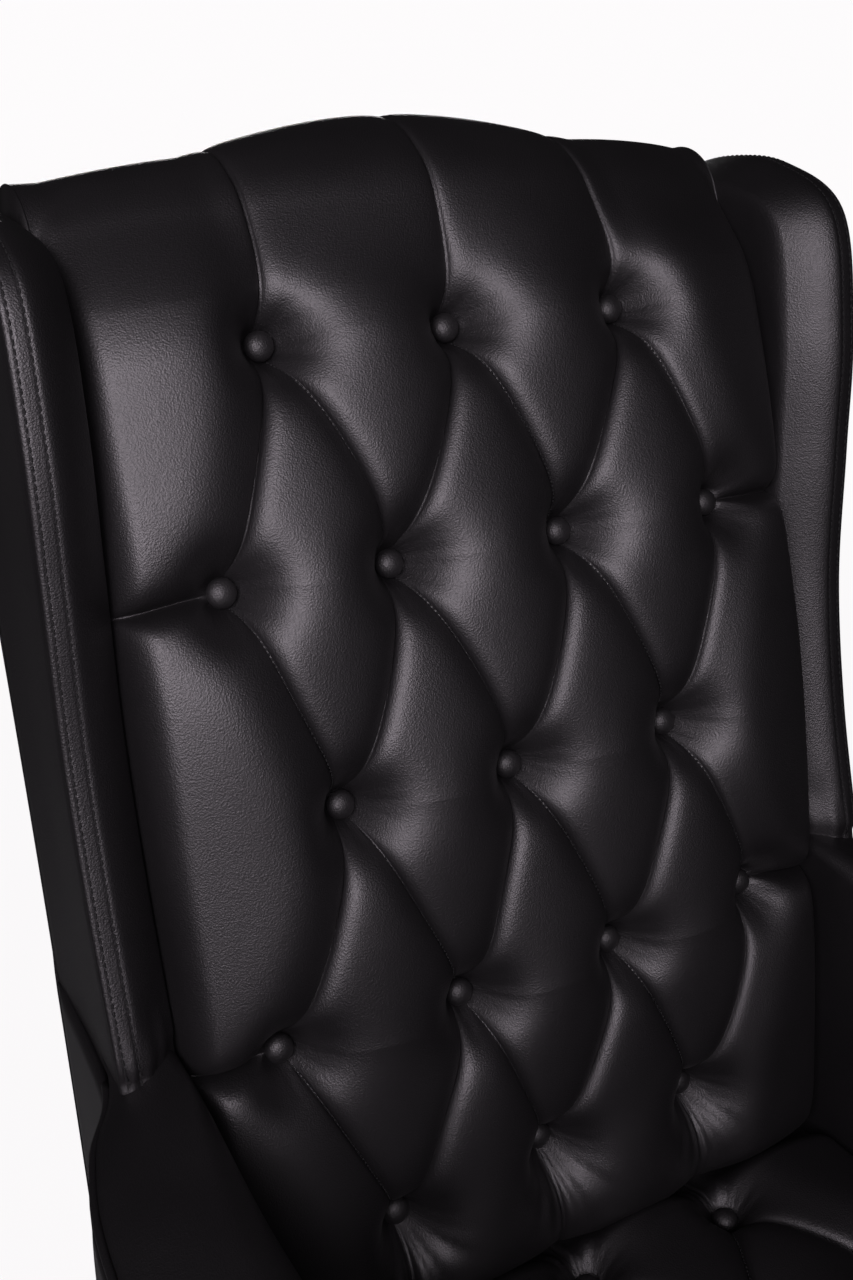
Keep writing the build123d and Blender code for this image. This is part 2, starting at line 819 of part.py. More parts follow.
def arm_rail_top():
    return arm_height - arm_fall - cover_base - cover_base / 2


def arm_padding_section(y, outer, top):
    """Points round the arm padding in front view: the inside of the arm and its top."""
    low = arm_rail_top()
    points = [Vector(arm_inner, y, rail_top)] + points_on(arm_top_edges(y, outer, top))
    return points + [Vector(outer, y, low), Vector(post_outer, y, low), Vector(post_outer, y, rail_top)]


def outside_arm_bow(y, outer):
    """Outer line of the outside arm panel, from the seat rail up to the piping."""
    low = Vector(frame_outer + outside_arm_thickness, y, leg_height)
    high = Vector(outer + outside_arm_thickness, y, arm_rail_top() - fit_gap)
    bow = low + (high - low) * outside_arm_bow_share + Vector(outside_arm_swell, 0, 0)
    return Edge.make_three_point_arc(low, bow, high)


def outside_arm_section(y, outer):
    """Outside arm panel in front view, flaring from the seat rail to a full edge at the piping."""
    points = points_on([outside_arm_bow(y, outer)])
    inner_high = points[-1] - Vector(outside_arm_thickness, 0, 0)
    return points + [inner_high, Vector(frame_outer, y, leg_height)]


def piping_section(y, outer):
    """Piping in front view, in the corner between the panel and the top."""
    centre = Vector(outer + piping_radius + fit_gap / 2, y, arm_rail_top() + piping_radius)
    level = ring(Vector(0, 0, 0), piping_radius, piping_sides)
    return [centre + Vector(point.X, 0, point.Y) for point in level]


def make_arms():
    """Arm frame, padding, outside panel, piping and the facing in front."""
    places = arm_places()
    wing_front = back_point(arm_height - seat_height, hessian_depth).Y
    rear_rail = places[0][0]
    pad_places = [(min(y, wing_front), outer, top) for y, outer, top in places]
    padding = skin([arm_padding_section(*place) for place in pad_places])
    low = leg_height - seat_height - rail_height
    post_space = across(back_frame_face(low, crest_start, hessian_depth, 0), 0, post_outer)
    for space in (post_space, pieces["wing_board_right"], pieces["outside_wing_right"]):
        padding = padding - space
    both_sides("arm_padding", padding)
    outside = skin([outside_arm_section(y, outer) for y, outer, top in places])
    both_sides("outside_arm", outside - behind_frame())
    both_sides("arm_piping", skin([piping_section(y, outer) for y, outer, top in places[1:]]))
    margin = cover_base
    outer_points = [(outer - margin, y) for y, outer, top in places]
    plan = outer_points + [(post_outer, front_plane), (post_outer, rear_rail)]
    rail_high = arm_rail_top()
    rail_low = rail_high - arm_rail_height
    both_sides("arm_rail", plate(plan, rail_low, rail_high) - behind_frame())
    front_outer = frame_outer + arm_flare
    post_high = front_outer - margin - outside_arm_thickness
    post = make_face(
        Polyline(
            (post_outer, rail_top),
            (frame_outer, rail_top),
            (post_high, rail_low),
            (post_outer, rail_low),
            close=True,
        )
    )
    both_sides("arm_post", extrude(Plane.XZ.offset(-front_plane) * post, amount=-arm_post_depth))
    front = front_plane
    top_edges = arm_top_edges(front, front_outer, places[-1][2])
    bow = points_on([outside_arm_bow(front, front_outer)])
    outline = points_on(top_edges) + bow[::-1] + [Vector(arm_inner, front, leg_height)]
    facing = extrude(Face(Wire.make_polygon(outline)), amount=facing_thickness, dir=(0, -1, 0))
    both_sides("arm_facing", facing)


# Outer covers


def make_outer_covers():
    """Outside back, front border and the dust cover below."""
    top = rear_height(crest_start) - fit_gap
    ear_top = wing_top - wing_fall
    front_edge = rear_arc(leg_height, ear_top, outside_padding)
    rear_edge = rear_arc(ear_top, leg_height, 0)
    reach = back_curve_radius
    panel = across(outline_face([front_edge, rear_edge]), -reach, reach)
    wide = frame_outer + outside_arm_thickness
    narrow = board_outer + outside_wing_thickness
    step = arm_rail_top()
    half = [(wide, leg_height), (wide, step), (narrow, step + outside_padding), (narrow, ear_top)]
    half += [(wing_inner, ear_top), (wing_inner, top)]
    outline = make_face(Polyline(*half, *[(-x, z) for x, z in reversed(half)], close=True))
    pieces["outside_back"] = panel & extrude(Plane.XZ * outline, amount=-reach)
    drop_start = (seat_depth - seat_roll) / cos(radians(seat_slope))
    seat_end = seat_line(drop_start + radians(90 + seat_slope) * seat_roll + seat_drop)[0].Z
    pieces["front_border"] = box_between(
        (-half_seat, front_plane - facing_thickness, leg_height), (half_seat, front_plane, seat_end)
    )


# Legs


def make_front_leg():
    """Cabriole leg: a square block, a knee that bows out to the corner and a pad foot."""
    block_low = leg_height - leg_block_height
    half = leg_block / 2
    block = box_between((-half, -half, block_low), (half, half, leg_height))
    rings = []
    for height_share, radius_share, bow_share in zip(leg_height_shares, leg_radius_shares, leg_bow_shares):
        shift = leg_block * bow_share
        height = glide_height + (block_low - glide_height) * height_share
        rings.append(ring(Vector(shift, -shift, height), leg_block * radius_share, leg_sides))
    return block + skin(rings), shift


def make_legs(blocks):
    """Legs, glides and the bolts that hold the legs to the corner blocks."""
    front_leg, foot_shift = make_front_leg()
    front_x = post_outer - bolt_radius - cover_base / 2
    front_y = front_plane + rail_thickness + bolt_radius + cover_base / 2
    rear_x = post_outer - post_width / 2
    rear_y = back_point(leg_height - seat_height, frame_depth).Y + rear_leg_top / 2 + fit_gap
    foot = square(Vector(0, rear_leg_rake, glide_height), rear_leg_foot)
    rear_leg = skin([foot, square(Vector(0, 0, leg_height), rear_leg_top)])
    bolt_low = leg_height - bolt_length / 2
    shank = Pos(0, 0, bolt_low + bolt_length / 2) * Cylinder(bolt_radius, bolt_length)
    nut_middle = leg_height + block_height + nut_height / 2
    nut_face = RegularPolygon(nut_radius, nut_sides)
    nut = Pos(0, 0, nut_middle) * extrude(nut_face, amount=nut_height / 2, both=True)
    hole = Pos(0, 0, bolt_low + bolt_length / 2) * Cylinder(bolt_radius + fit_gap, bolt_length)
    front_bolt = shank + nut
    rims = [(glide_height * up, glide_radius * out) for out, up in glide_shares]
    glide = skin([ring(Vector(0, 0, height), radius, leg_sides) for height, radius in rims])
    bolts = []
    glides = []
    holes = []
    for hand in (-1, 1):
        for x, y, bolt in ((front_x, front_y, front_bolt), (rear_x, rear_y, shank)):
            bolts.append(Pos(hand * x, y, 0) * bolt)
            holes.append(Pos(hand * x, y, 0) * hole)
        glides.append(Pos(hand * (front_x + foot_shift), front_y - foot_shift, 0) * glide)
        glides.append(Pos(hand * rear_x, rear_y + rear_leg_rake, 0) * glide)
    both_sides("front_leg", Pos(front_x, front_y, 0) * front_leg - holes)
    both_sides("rear_leg", Pos(rear_x, rear_y, 0) * rear_leg - holes)
    for hand in ("_left", "_right"):
        pieces["back_post" + hand] = pieces["back_post" + hand] - holes
    pieces["corner_blocks"] = Compound([block - holes for block in blocks])
    pieces["hanger_bolts"] = Compound(bolts)
    pieces["leg_glides"] = Compound(glides)
    x = post_outer + rail_thickness / 2
    front = front_plane + rail_thickness / 2
    rear = rear_at(leg_height, outside_padding + rail_thickness / 2).Y
    front_notch_x = front_x - leg_block / 2 - fit_gap
    front_notch_y = front_y + leg_block / 2 + fit_gap
    rear_notch_x = rear_x - rear_leg_top / 2 - fit_gap
    rear_notch_y = rear_y - rear_leg_top / 2 - fit_gap
    half = [
        (front_notch_x, front),
        (front_notch_x, front_notch_y),
        (x, front_notch_y),
        (x, rear_notch_y),
        (rear_notch_x, rear_notch_y),
        (rear_notch_x, rear),
    ]
    plan = half + [(-px, py) for px, py in reversed(half)]
    pieces["dust_cover"] = plate(plan, leg_height - dust_cover_thickness, leg_height)


make_cushions()
make_back_layers()
make_back_frame()
corner_blocks = make_seat_frame()
make_seat_suspension()
make_wings()
make_arms()
make_outer_covers()
make_legs(corner_blocks)

os.makedirs("parts", exist_ok=True)
bounds = Compound(list(pieces.values())).bounding_box()
centring = Pos(0, -(bounds.min.Y + bounds.max.Y) / 2, 0)
for name, solid in pieces.items():
    export_step(centring * solid, "parts/" + name + ".step")
print("nodes", len(pieces), "shift", round(centring.position.Y, 2))
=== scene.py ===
from math import cos, exp, pi, radians, sin, sqrt

import bmesh
import bpy
import numpy as np
from mathutils import Euler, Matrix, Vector


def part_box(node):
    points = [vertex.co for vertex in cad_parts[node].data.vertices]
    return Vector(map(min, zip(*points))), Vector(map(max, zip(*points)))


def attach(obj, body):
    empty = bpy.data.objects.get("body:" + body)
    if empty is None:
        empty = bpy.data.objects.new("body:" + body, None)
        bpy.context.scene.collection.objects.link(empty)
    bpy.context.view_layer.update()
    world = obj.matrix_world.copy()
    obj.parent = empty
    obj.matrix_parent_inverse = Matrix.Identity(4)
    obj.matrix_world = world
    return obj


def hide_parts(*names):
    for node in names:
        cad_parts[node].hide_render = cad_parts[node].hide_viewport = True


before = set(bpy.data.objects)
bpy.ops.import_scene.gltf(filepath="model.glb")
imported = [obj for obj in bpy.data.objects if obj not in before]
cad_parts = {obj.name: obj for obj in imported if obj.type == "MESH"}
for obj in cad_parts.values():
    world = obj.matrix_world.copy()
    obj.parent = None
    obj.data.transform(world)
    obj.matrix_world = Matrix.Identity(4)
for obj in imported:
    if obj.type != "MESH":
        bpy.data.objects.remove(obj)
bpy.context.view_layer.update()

# A buttoned wing armchair in black leather. Metres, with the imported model's frame:
# X to the sitter's left, Y to the back of the chair, Z up.

# Sizes of the frame and the cushions, the same as the solids'
seat_height = 0.429
back_curve_radius = 2.35
back_start_lean = radians(5.2)
half_back = 0.250
crest_start = 0.742
crest_radius = 0.050
crest_hump = 0.020
crest_fall = 0.009
back_lift = 0.006
back_depth = 0.150
cover_base = 0.010
seat_depth = 0.505
seat_slope = radians(2.5)
seat_roll = 0.042
seat_drop = 0.024
half_seat = 0.252
rail_top = 0.331
leg_height = 0.236
fit_gap = 0.0003
outside_padding = 0.010
panel_thickness = 0.005
frame_outer = 0.285
board_outer = 0.284
post_outer = 0.264
rail_thickness = 0.021
arm_inner = half_seat + fit_gap
wing_inner = half_back + fit_gap
wing_thickness = 0.045
wing_outer = wing_inner + wing_thickness
arm_height = 0.680
arm_fall = 0.006
arm_padding_depth = 0.015
arm_rail_top = arm_height - arm_fall - arm_padding_depth
arm_flare = 0.061
arm_outer_drop = 0.012
wing_top = 1.160
wing_reach = 0.018
wing_fall = 0.016

# Buttoning
column_pitch = 0.125
strip_pitch = column_pitch / 2
even_strips = (-2, 0, 2)
odd_strips = (-3, -1, 1, 3)
outermost = odd_strips[-1] * strip_pitch
back_row_start = 0.0886
back_row_pitch = 0.1437
seat_row_start = 0.054
seat_row_pitch = 0.118
back_rows = [back_row_start + back_row_pitch * count for count in range(5)]
seat_rows = [seat_row_start + seat_row_pitch * count for count in range(4)]
button_radius = 0.0095
button_height = 0.0072
button_lift = 0.0068
button_sink = 0.004
button_rings = 7
button_sides = 24
pleat_gap = 0.0006

# How far each button of the back was tied from its even place, along X and up the back, in millimetres
back_button_drift = {
    (0, -2): (4.8, -5.1), (0, 0): (-4.2, 7.0), (0, 2): (-2.0, 1.9),
    (1, -3): (-2.2, 0.4), (1, -1): (4.4, -5.0), (1, 1): (1.9, -4.8), (1, 3): (-2.0, 3.6),
    (2, -2): (-1.9, 2.1), (2, 0): (-2.5, -1.9), (2, 2): (2.3, -2.4),
    (3, -3): (5.6, 3.5), (3, -1): (-6.1, 1.5), (3, 1): (-3.0, 1.2), (3, 3): (-2.0, 1.0),
    (4, -2): (-5.1, 1.0), (4, 0): (-0.7, -0.8), (4, 2): (4.4, -0.9),
}
drift_reach = 0.055
drift_margin = 0.04

# Pillows, and the pits that the buttons draw in
back_fullness = 0.037
seat_fullness = 0.026
crest_fullness = 0.0015
thick_fullness = 0.03
back_dome = 0.009
seat_dome = 0.008
narrow_strip = 0.012
seat_tail_fullness = 0.0022
seat_front_fullness = 0.004
pit_floor = 0.0085
pit_reach = 0.0158

# Pleats: how fast the cover rises beside them, and the dark line in them
pleat_bright_side = 0.0034
pleat_dark_side = 0.0065
back_crease_depth = 0.0060
crest_crease_depth = 0.0022
foot_crease_share = 0.3
seat_tail_crease = 0.0005
seat_crease_depth = 0.0058
slit_depth = 0.003
slit_width = 0.0005
slit_fullness = 0.002

# Level pleats from the outermost buttons to the sides
level_pleat_above = 0.0110
level_pleat_below = 0.0075
level_pleat_lift = 0.008
level_slit_width = 0.0009

# Sides of the covers; the strips there have a pleat on one side only
open_side = 0.5
open_reach = 0.06
side_roll = 0.016
side_slope_share = 0.45
back_side_slope = 0.095
seat_side_slope = 0.070
calm_side = 0.03
cover_foot = 0.7 * cover_base
cover_limit = 0.85 * cover_base
cover_rim = 0.8 * cover_base
under_count = 10
back_skirt_depth = 0.050
crest_skirt_depth = 0.038
seat_skirt_depth = 0.030
seat_roll_skirt_depth = 0.024

# Gathers round the buttons, and the folds under the lowest row as (direction, depth)
gather_count = 13
gather_depth = 0.0004
gather_radius = 0.018
gather_width = 0.008
fold_reach = 0.08
fold_starts = (0.008, 0.016)
fold_ends = (0.030, 0.075)
folds_under_button = ((-0.6, 0.0026), (-0.15, 0.0050), (0.28, 0.0042), (0.8, 0.0026))
fold_lean = 0.07
fold_width = 0.12
sag_depth = 0.0009
spoke_scale = 30

# Places along a cover, closer together at the button rows, and across a strip, closer at the pleats
row_step = 0.0028
row_ease = 0.03
strip_shares = np.linspace(0, 1, 31)
strip_spacing = 0.84 * (0.5 - 0.5 * np.cos(pi * strip_shares)) + 0.16 * strip_shares


# Lines that the cushions follow, in the frame's own Y and Z


def outward(lean):
    """Y and Z of the direction square to a surface that leans back by an angle."""
    return np.stack([-np.cos(lean), np.sin(lean)], axis=-1)


def seat_roll_start():
    return (seat_depth - seat_roll) / cos(seat_slope)


def seat_front():
    """Front of the wooden frame, from the place where the seat meets the back."""
    along = seat_roll_start() + (pi / 2 + seat_slope) * seat_roll
    return local_seat_line(np.array([along]))[0][0, 0] + cover_base


def local_back_line(along):
    """Points and outward directions on the back's pleat line, by length from the seat."""
    along = np.asarray(along, float)
    lean = back_start_lean + np.minimum(along, crest_start) / back_curve_radius
    centre = np.array([0, seat_height]) - outward(back_start_lean) * back_curve_radius
    on_curve = centre + outward(lean) * back_curve_radius
    turned = lean + np.maximum(along - crest_start, 0) / crest_radius
    direction = outward(turned)
    points = on_curve - outward(lean) * crest_radius + direction * crest_radius
    return points, direction


def local_seat_line(along):
    """Points and outward directions on the seat's pleat line, by length from the back."""
    along = np.asarray(along, float)
    start = np.array([0, seat_height])
    forward = np.array([-cos(seat_slope), sin(seat_slope)])
    up = np.array([sin(seat_slope), cos(seat_slope)])
    flat = np.minimum(along, seat_roll_start())
    turn = np.clip((along - seat_roll_start()) / seat_roll, 0, pi / 2 + seat_slope)
    angle = seat_slope - turn
    direction = np.stack([np.sin(angle), np.cos(angle)], axis=-1)
    drop = np.maximum(along - seat_roll_start() - (pi / 2 + seat_slope) * seat_roll, 0)
    points = start + flat[:, None] * forward - up * seat_roll + direction * seat_roll
    points[:, 1] -= drop
    return points, direction


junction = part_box("front_seat_rail")[0].y - seat_front()


def back_line(along):
    """The back's pleat line in the frame's own places."""
    points, direction = local_back_line(along)
    return points + np.array([junction, 0]), direction


def seat_line(along):
    """The seat's pleat line in the frame's own places."""
    points, direction = local_seat_line(along)
    return points + np.array([junction, 0]), direction


def back_place(along, depth):
    """Y and Z at a depth behind the back's pleat line."""
    points, direction = back_line(np.array([along]))
    return points[0] - direction[0] * depth


def circle_through(places):
    """Centre and radius of the circle through three points."""
    (y1, z1), (y2, z2), (y3, z3) = places
    cross = 2 * (y1 * (z2 - z3) + y2 * (z3 - z1) + y3 * (z1 - z2))
    squares = [y * y + z * z for y, z in places]
    y = (squares[0] * (z2 - z3) + squares[1] * (z3 - z1) + squares[2] * (z1 - z2)) / cross
    z = (squares[0] * (y3 - y2) + squares[1] * (y1 - y3) + squares[2] * (y2 - y1)) / cross
    return y, z, sqrt((y1 - y) ** 2 + (z1 - z) ** 2)


back_taper = back_depth - 2 * crest_radius
rear_places = [back_place(crest_start * share, back_depth - back_taper * share ** 2) for share in (0, 0.5, 1)]
rear_y, rear_z, rear_radius = circle_through(rear_places)


def rear_line(height, inset):
    """Y of the chair's rear line at a height, or an inset in front of it."""
    return rear_y - sqrt((rear_radius + inset) ** 2 - (height - rear_z) ** 2)


# Mesh makers

# Left and right as seen from the front, with the sign of X there
both_sides = (("left", -1), ("right", 1))
path_steps = 24


def in_scene(name, data):
    """Object made from its data and put in the scene."""
    thing = bpy.data.objects.new(name, data)
    bpy.context.scene.collection.objects.link(thing)
    return thing


def new_piece(name, mesh, material):
    mesh.materials.clear()
    mesh.materials.append(material)
    return in_scene(name, mesh)


def shell_through(name, rings, material):
    """Closed smooth shell through rings of the same number of points."""
    rings = np.asarray(rings, float)
    rows, count = rings.shape[:2]
    index = np.arange(rows * count).reshape(rows, count)
    after = np.roll(index, -1, axis=1)
    quads = np.stack([index[:-1], after[:-1], after[1:], index[1:]], axis=-1).reshape(-1, 4)
    mesh = bpy.data.meshes.new(name)
    faces = quads.tolist() + [index[0][::-1].tolist(), index[-1].tolist()]
    mesh.from_pydata(rings.reshape(-1, 3).tolist(), [], faces)
    tidy = bmesh.new()
    tidy.from_mesh(mesh)
    bmesh.ops.recalc_face_normals(tidy, faces=tidy.faces[:])
    tidy.to_mesh(mesh)
    tidy.free()
    mesh.shade_smooth()
    return new_piece(name, mesh, material)


def joined(name, parts):
    """One mesh from several closed shells."""
    tidy = bmesh.new()
    material = parts[0].data.materials[0]
    for part in parts:
        tidy.from_mesh(part.data)
        bpy.data.objects.remove(part)
    mesh = bpy.data.meshes.new(name)
    tidy.to_mesh(mesh)
    tidy.free()
    mesh.shade_smooth()
    return new_piece(name, mesh, material)


def smoothstep(value, low, high):
    share = np.clip((value - low) / (high - low), 0, 1)
    return share * share * (3 - 2 * share)


def arch(share):
    """Quarter round that rises steeply from 0 and is level at 1."""
    return np.sqrt(np.clip(1 - (1 - np.clip(share, 0, 1)) ** 2, 0, 1))


def smooth_path(points, count):
    """Evenly spaced points on a smooth curve through the points given."""
    points = np.asarray(points, float)
    ends = np.vstack([2 * points[0] - points[1], points, 2 * points[-1] - points[-2]])
    fine = []
    steps = np.linspace(0, 1, path_steps, endpoint=False)[:, None]
    for index in range(len(points) - 1):
        a, b, c, d = ends[index:index + 4]
        bend = (2 * a - 5 * b + 4 * c - d) * steps ** 2 + (3 * b - a - 3 * c + d) * steps ** 3
        fine.append(b + ((c - a) * steps + bend) / 2)
    fine = np.vstack(fine + [points[-1:]])
    lengths = np.concatenate([[0], np.cumsum(np.linalg.norm(np.diff(fine, axis=0), axis=1))])
    wanted = np.linspace(0, lengths[-1], count)
    return np.stack([np.interp(wanted, lengths, fine[:, axis]) for axis in range(fine.shape[1])], axis=-1)


# Buttoned cushions


class Tufting:
    """How one cushion is buttoned and how full it is along its length."""

    def __init__(self, line, rows, half_width, fullness, crease, dome, hump, side_slope, drift, skirt):
        self.line = line
        self.rows = rows
        self.half_width = half_width
        self.fullness = fullness
        self.crease = crease
        self.dome = dome
        self.hump = hump
        self.side_slope = side_slope
        self.skirt = skirt
        self.buttons = []
        self.drifts = []
        for index, row in enumerate(rows):
            for strip in odd_strips if index % 2 else even_strips:
                self.buttons.append((strip * strip_pitch, row))
                self.drifts.append(drift.get((index, strip), (0, 0)))

    def phase(self, along):
        """0 at a row with buttons on the even strips, and 1 at a row with them on the odd ones."""
        return np.interp(along, self.rows, [index % 2 for index in range(len(self.rows))])

    def drifted(self, x, along):
        """X and length once the cover is drawn towards the places where its buttons were tied."""
        x = np.asarray(x, float)
        shift_x, shift_along = np.zeros_like(x), np.zeros_like(x)
        for (bx, row), (dx, dalong) in zip(self.buttons, self.drifts):
            if (dx, dalong) != (0, 0) and abs(along - row) < 4 * drift_reach:
                near = np.exp(-((x - bx) ** 2 + (along - row) ** 2) / drift_reach ** 2)
                shift_x = shift_x + near * dx / 1000
                shift_along = shift_along + near * dalong / 1000
        inside = smoothstep(self.half_width - np.abs(x), 0.0, drift_margin)
        return x + shift_x * inside, along + shift_along * inside

    def columns(self, along):
        """X, gaps to the creases on either side and strip width, for every column at a length."""
        phase = self.phase(along)
        seams = []
        for strip in range(odd_strips[0], odd_strips[-1]):
            even, odd = (strip, strip + 1) if strip % 2 == 0 else (strip + 1, strip)
            beside = pleat_gap / 2 if odd > even else -pleat_gap / 2
            from_even = even * strip_pitch + beside
            from_odd = odd * strip_pitch - beside
            seams.append(from_even + (from_odd - from_even) * phase)
        edges = [-self.half_width] + seams + [self.half_width]
        last = len(edges) - 2
        parts = []
        for index, (left, right) in enumerate(zip(edges, edges[1:])):
            width = right - left
            places = left + strip_spacing * width
            from_left, from_right = strip_spacing * width, (1 - strip_spacing) * width
            if index == 0:
                from_left = np.full_like(places, open_side)
            if index == last:
                from_right = np.full_like(places, open_side)
            wide = np.full_like(places, open_side if index in (0, last) else width)
            part = np.stack([places, from_left, from_right, wide])
            parts.append(part if index == last else part[:, :-1])
        return np.concatenate(parts, axis=1)

    def pull(self, along, x):
        """How far the buttons draw the pleats in, from 1 at a button to 0 between them."""
        pull = np.zeros_like(x)
        for bx, row in self.buttons:
            if abs(along - row) < 6 * pit_reach:
                away = np.maximum(np.hypot(x - bx, along - row) - pit_floor, 0) / pit_reach
                pull = np.maximum(pull, np.exp(-away ** 1.15))
        return pull

    def crease_height(self, along, x):
        """Height of the pleats above the cushion's line."""
        height = self.fullness(along) - self.crease(along)
        height = -button_sink + (height + button_sink) * (1 - self.pull(along, x))
        low_side = level_pleat_lift - button_sink
        return height + (low_side - height) * self.level_pleat(along, x)

    def level_pleat(self, along, x):
        """1 on the level pleats from the outermost buttons to the sides, falling to 0 above and below."""
        found = np.zeros_like(x)
        inward = smoothstep(np.abs(x), outermost - 0.004, outermost + 0.014)
        for row in self.rows[1::2]:
            away = along - row
            reach = level_pleat_above if away > 0 else level_pleat_below
            if abs(away) < 6 * reach:
                found = np.maximum(found, inward * np.exp(-abs(away) / reach))
        return found

    def level_slit(self, along, x):
        """Depth of the narrow line in the level pleats."""
        away = min(abs(along - row) for row in self.rows[1::2])
        beside = smoothstep(np.abs(x), outermost + 0.008, outermost + 0.014)
        return slit_depth * beside * np.exp(-away / level_slit_width)

    def heights(self, along, x, from_left, from_right, width):
        """Height of the cover above its line."""
        full = self.fullness(along)
        pull = self.pull(along, x)
        low = self.crease_height(along, x)
        nearest = np.minimum(from_left, from_right)
        across = np.clip(nearest / np.maximum(width / 2, pleat_gap), 0, 1)
        across = np.where(width >= open_side, smoothstep(nearest, 0, open_reach), across)
        thick = min(1, max(full, 0) / thick_fullness)
        dome = self.dome * np.minimum(width / column_pitch, 1) * (1 - (1 - across) ** 2) * thick
        high = -button_sink + (full + dome + button_sink) * (1 - pull ** 1.15)
        rise = (1 - np.exp(-from_left / pleat_bright_side)) * (1 - np.exp(-from_right / pleat_dark_side))
        room = 1 - np.exp(-np.minimum(width, open_side) / narrow_strip)
        height = low + np.maximum(high - low, 0) * rise * room
        height = height + (low - height) * self.level_pleat(along, x)
        cut = slit_depth * min(1, max(full, 0) / slit_fullness)
        height = height - cut * np.exp(-nearest / slit_width) * (1 - pull)
        height = height - self.level_slit(along, x)
        side = self.half_width - np.abs(x)
        slope = 1 - np.clip(side / self.side_slope, 0, 1)
        share = arch(side / side_roll) * (1 - side_slope_share * slope ** 2)
        return (height + cover_foot) * share - cover_foot

    def folds(self, along, x):
        """Small gathers that spread from the buttons, deepest under the lowest row."""
        height = np.zeros_like(x)
        for count, (bx, row) in enumerate(self.buttons):
            dx, dy = x - bx, along - row
            if abs(dy) >= fold_reach:
                continue
            away = np.hypot(dx, dy)
            turn = np.arctan2(dx, -dy)
            ring = np.exp(-((away - gather_radius) / gather_width) ** 2)
            height = height + gather_depth * ring * np.cos(gather_count * turn + count)
            if row == self.rows[0]:
                window = smoothstep(away, *fold_starts) * (1 - smoothstep(away, *fold_ends))
                for fold, depth in folds_under_button:
                    lean = fold + fold_lean * ((count * 5 + 2) % 3 - 1)
                    height = height - depth * window * np.exp(-((turn - lean) / fold_width) ** 2)
        return height

    def sag(self, along, x):
        """Slow unevenness of the filling."""
        return sag_depth * (np.sin(31 * x + 17 * along) + np.sin(23 * x - 29 * along + 1.3))


def crest_rise(x, share):
    """Camel line of the crest: a hump in the middle that falls towards the wings."""
    reach = column_pitch + crest_hump
    hump = crest_hump * (1 - (x / reach) ** 2)
    fall = -crest_fall * (np.abs(x) - reach) / (half_back - reach)
    return share * np.where(np.abs(x) < reach, hump, fall)


def row_spacing(start, end, rows):
    """Lengths along a cushion, closer together at the button rows."""
    fine = row_step / 4
    places = [start]
    while places[-1] < end:
        away = min(abs(places[-1] - row) for row in rows)
        places.append(places[-1] + fine + (row_step - fine) * smoothstep(away, 0, row_ease))
    places[-1] = end
    return places


def nearest_button(tufting, x, along):
    """Direction from the nearest button, and the distance from it, for each column."""
    best = np.full(x.shape, 9.0)
    spokes = np.zeros((len(x), 3))
    for count, (bx, row) in enumerate(tufting.buttons):
        dx, dy = x - bx, np.full_like(x, along - row)
        away = np.hypot(dx, dy)
        apart = np.maximum(away, 1e-6)
        closer = away < best
        best[closer] = away[closer]
        found = np.stack([dx / apart, dy / apart, away * spoke_scale + count], axis=1)
        spokes[closer] = found[closer]
    return spokes


def cover_ring(tufting, along):
    """Ring round a cushion at a length, how far it is gathered, and its directions from the buttons."""
    x, *gaps = tufting.columns(along)
    pull = tufting.pull(along, x)
    loose = arch((tufting.half_width - np.abs(x)) / calm_side) * (1 - pull ** 3)
    height = tufting.heights(along, x, *gaps) + (tufting.folds(along, x) + tufting.sag(along, x)) * loose
    height = np.maximum(height + crest_rise(x, tufting.hump(along)), -cover_limit)
    new_x, new_along = tufting.drifted(x, along)
    point, direction = tufting.line(new_along)
    top = np.column_stack([new_x, point + direction * height[:, None]])
    point, direction = tufting.line(np.array([along]))
    reach = tufting.half_width + fit_gap / 2
    under_x = np.concatenate([[reach], np.linspace(reach, -reach, under_count - 2), [-reach]])
    depth = np.full(under_count, tufting.skirt(along))
    depth[0] = depth[-1] = cover_rim
    under = np.column_stack([under_x, point[0] - direction[0] * depth[:, None]])
    gathered = np.concatenate([pull ** 1.5, np.zeros(under_count)])
    spokes = np.vstack([nearest_button(tufting, x, along), np.zeros((under_count, 3))])
    return np.vstack([top, under]), gathered, spokes


def tufted_cushion(name, tufting, start, end):
    """Closed buttoned cushion, with attributes for how its cover is gathered round the buttons."""
    lengths = row_spacing(start, end, tufting.rows)
    rings, gathered, spokes = zip(*[cover_ring(tufting, along) for along in lengths])
    piece = shell_through(name, rings, tufted_leather)
    fields = (("gathered", "FLOAT", "value", gathered), ("from_button", "FLOAT_VECTOR", "vector", spokes))
    for field, kind, key, values in fields:
        attribute = piece.data.attributes.new(field, kind, "POINT")
        attribute.data.foreach_set(key, np.concatenate(values).astype(np.float32).ravel())
    return piece


def back_full(along):
    """Height of the back's pillows along its length, from the seat over the crest."""
    foot = arch((along - back_lift + 0.001) / 0.055)
    over = smoothstep(along, back_rows[-1] - 0.01, crest_start + 0.035)
    tail = 1 - smoothstep(along, crest_start + 0.05, crest_start + pi * crest_radius)
    return foot * (back_fullness + (crest_fullness - back_fullness) * over) * tail


def back_crease(along):
    """Depth of the back's pleats below its pillows."""
    over = smoothstep(along, back_rows[-1], crest_start)
    tail = 1 - smoothstep(along, crest_start + 0.04, crest_start + pi * crest_radius)
    foot = smoothstep(along, 0, back_rows[0])
    depth = back_crease_depth + (crest_crease_depth - back_crease_depth) * over
    return depth * (foot_crease_share + (1 - foot_crease_share) * foot) * tail


def back_hump(along):
    rise = smoothstep(along, back_rows[-1] + 0.02, crest_start + 0.02)
    fall = smoothstep(along, crest_start + 0.065, crest_start + 0.15)
    return rise * (1 - fall)


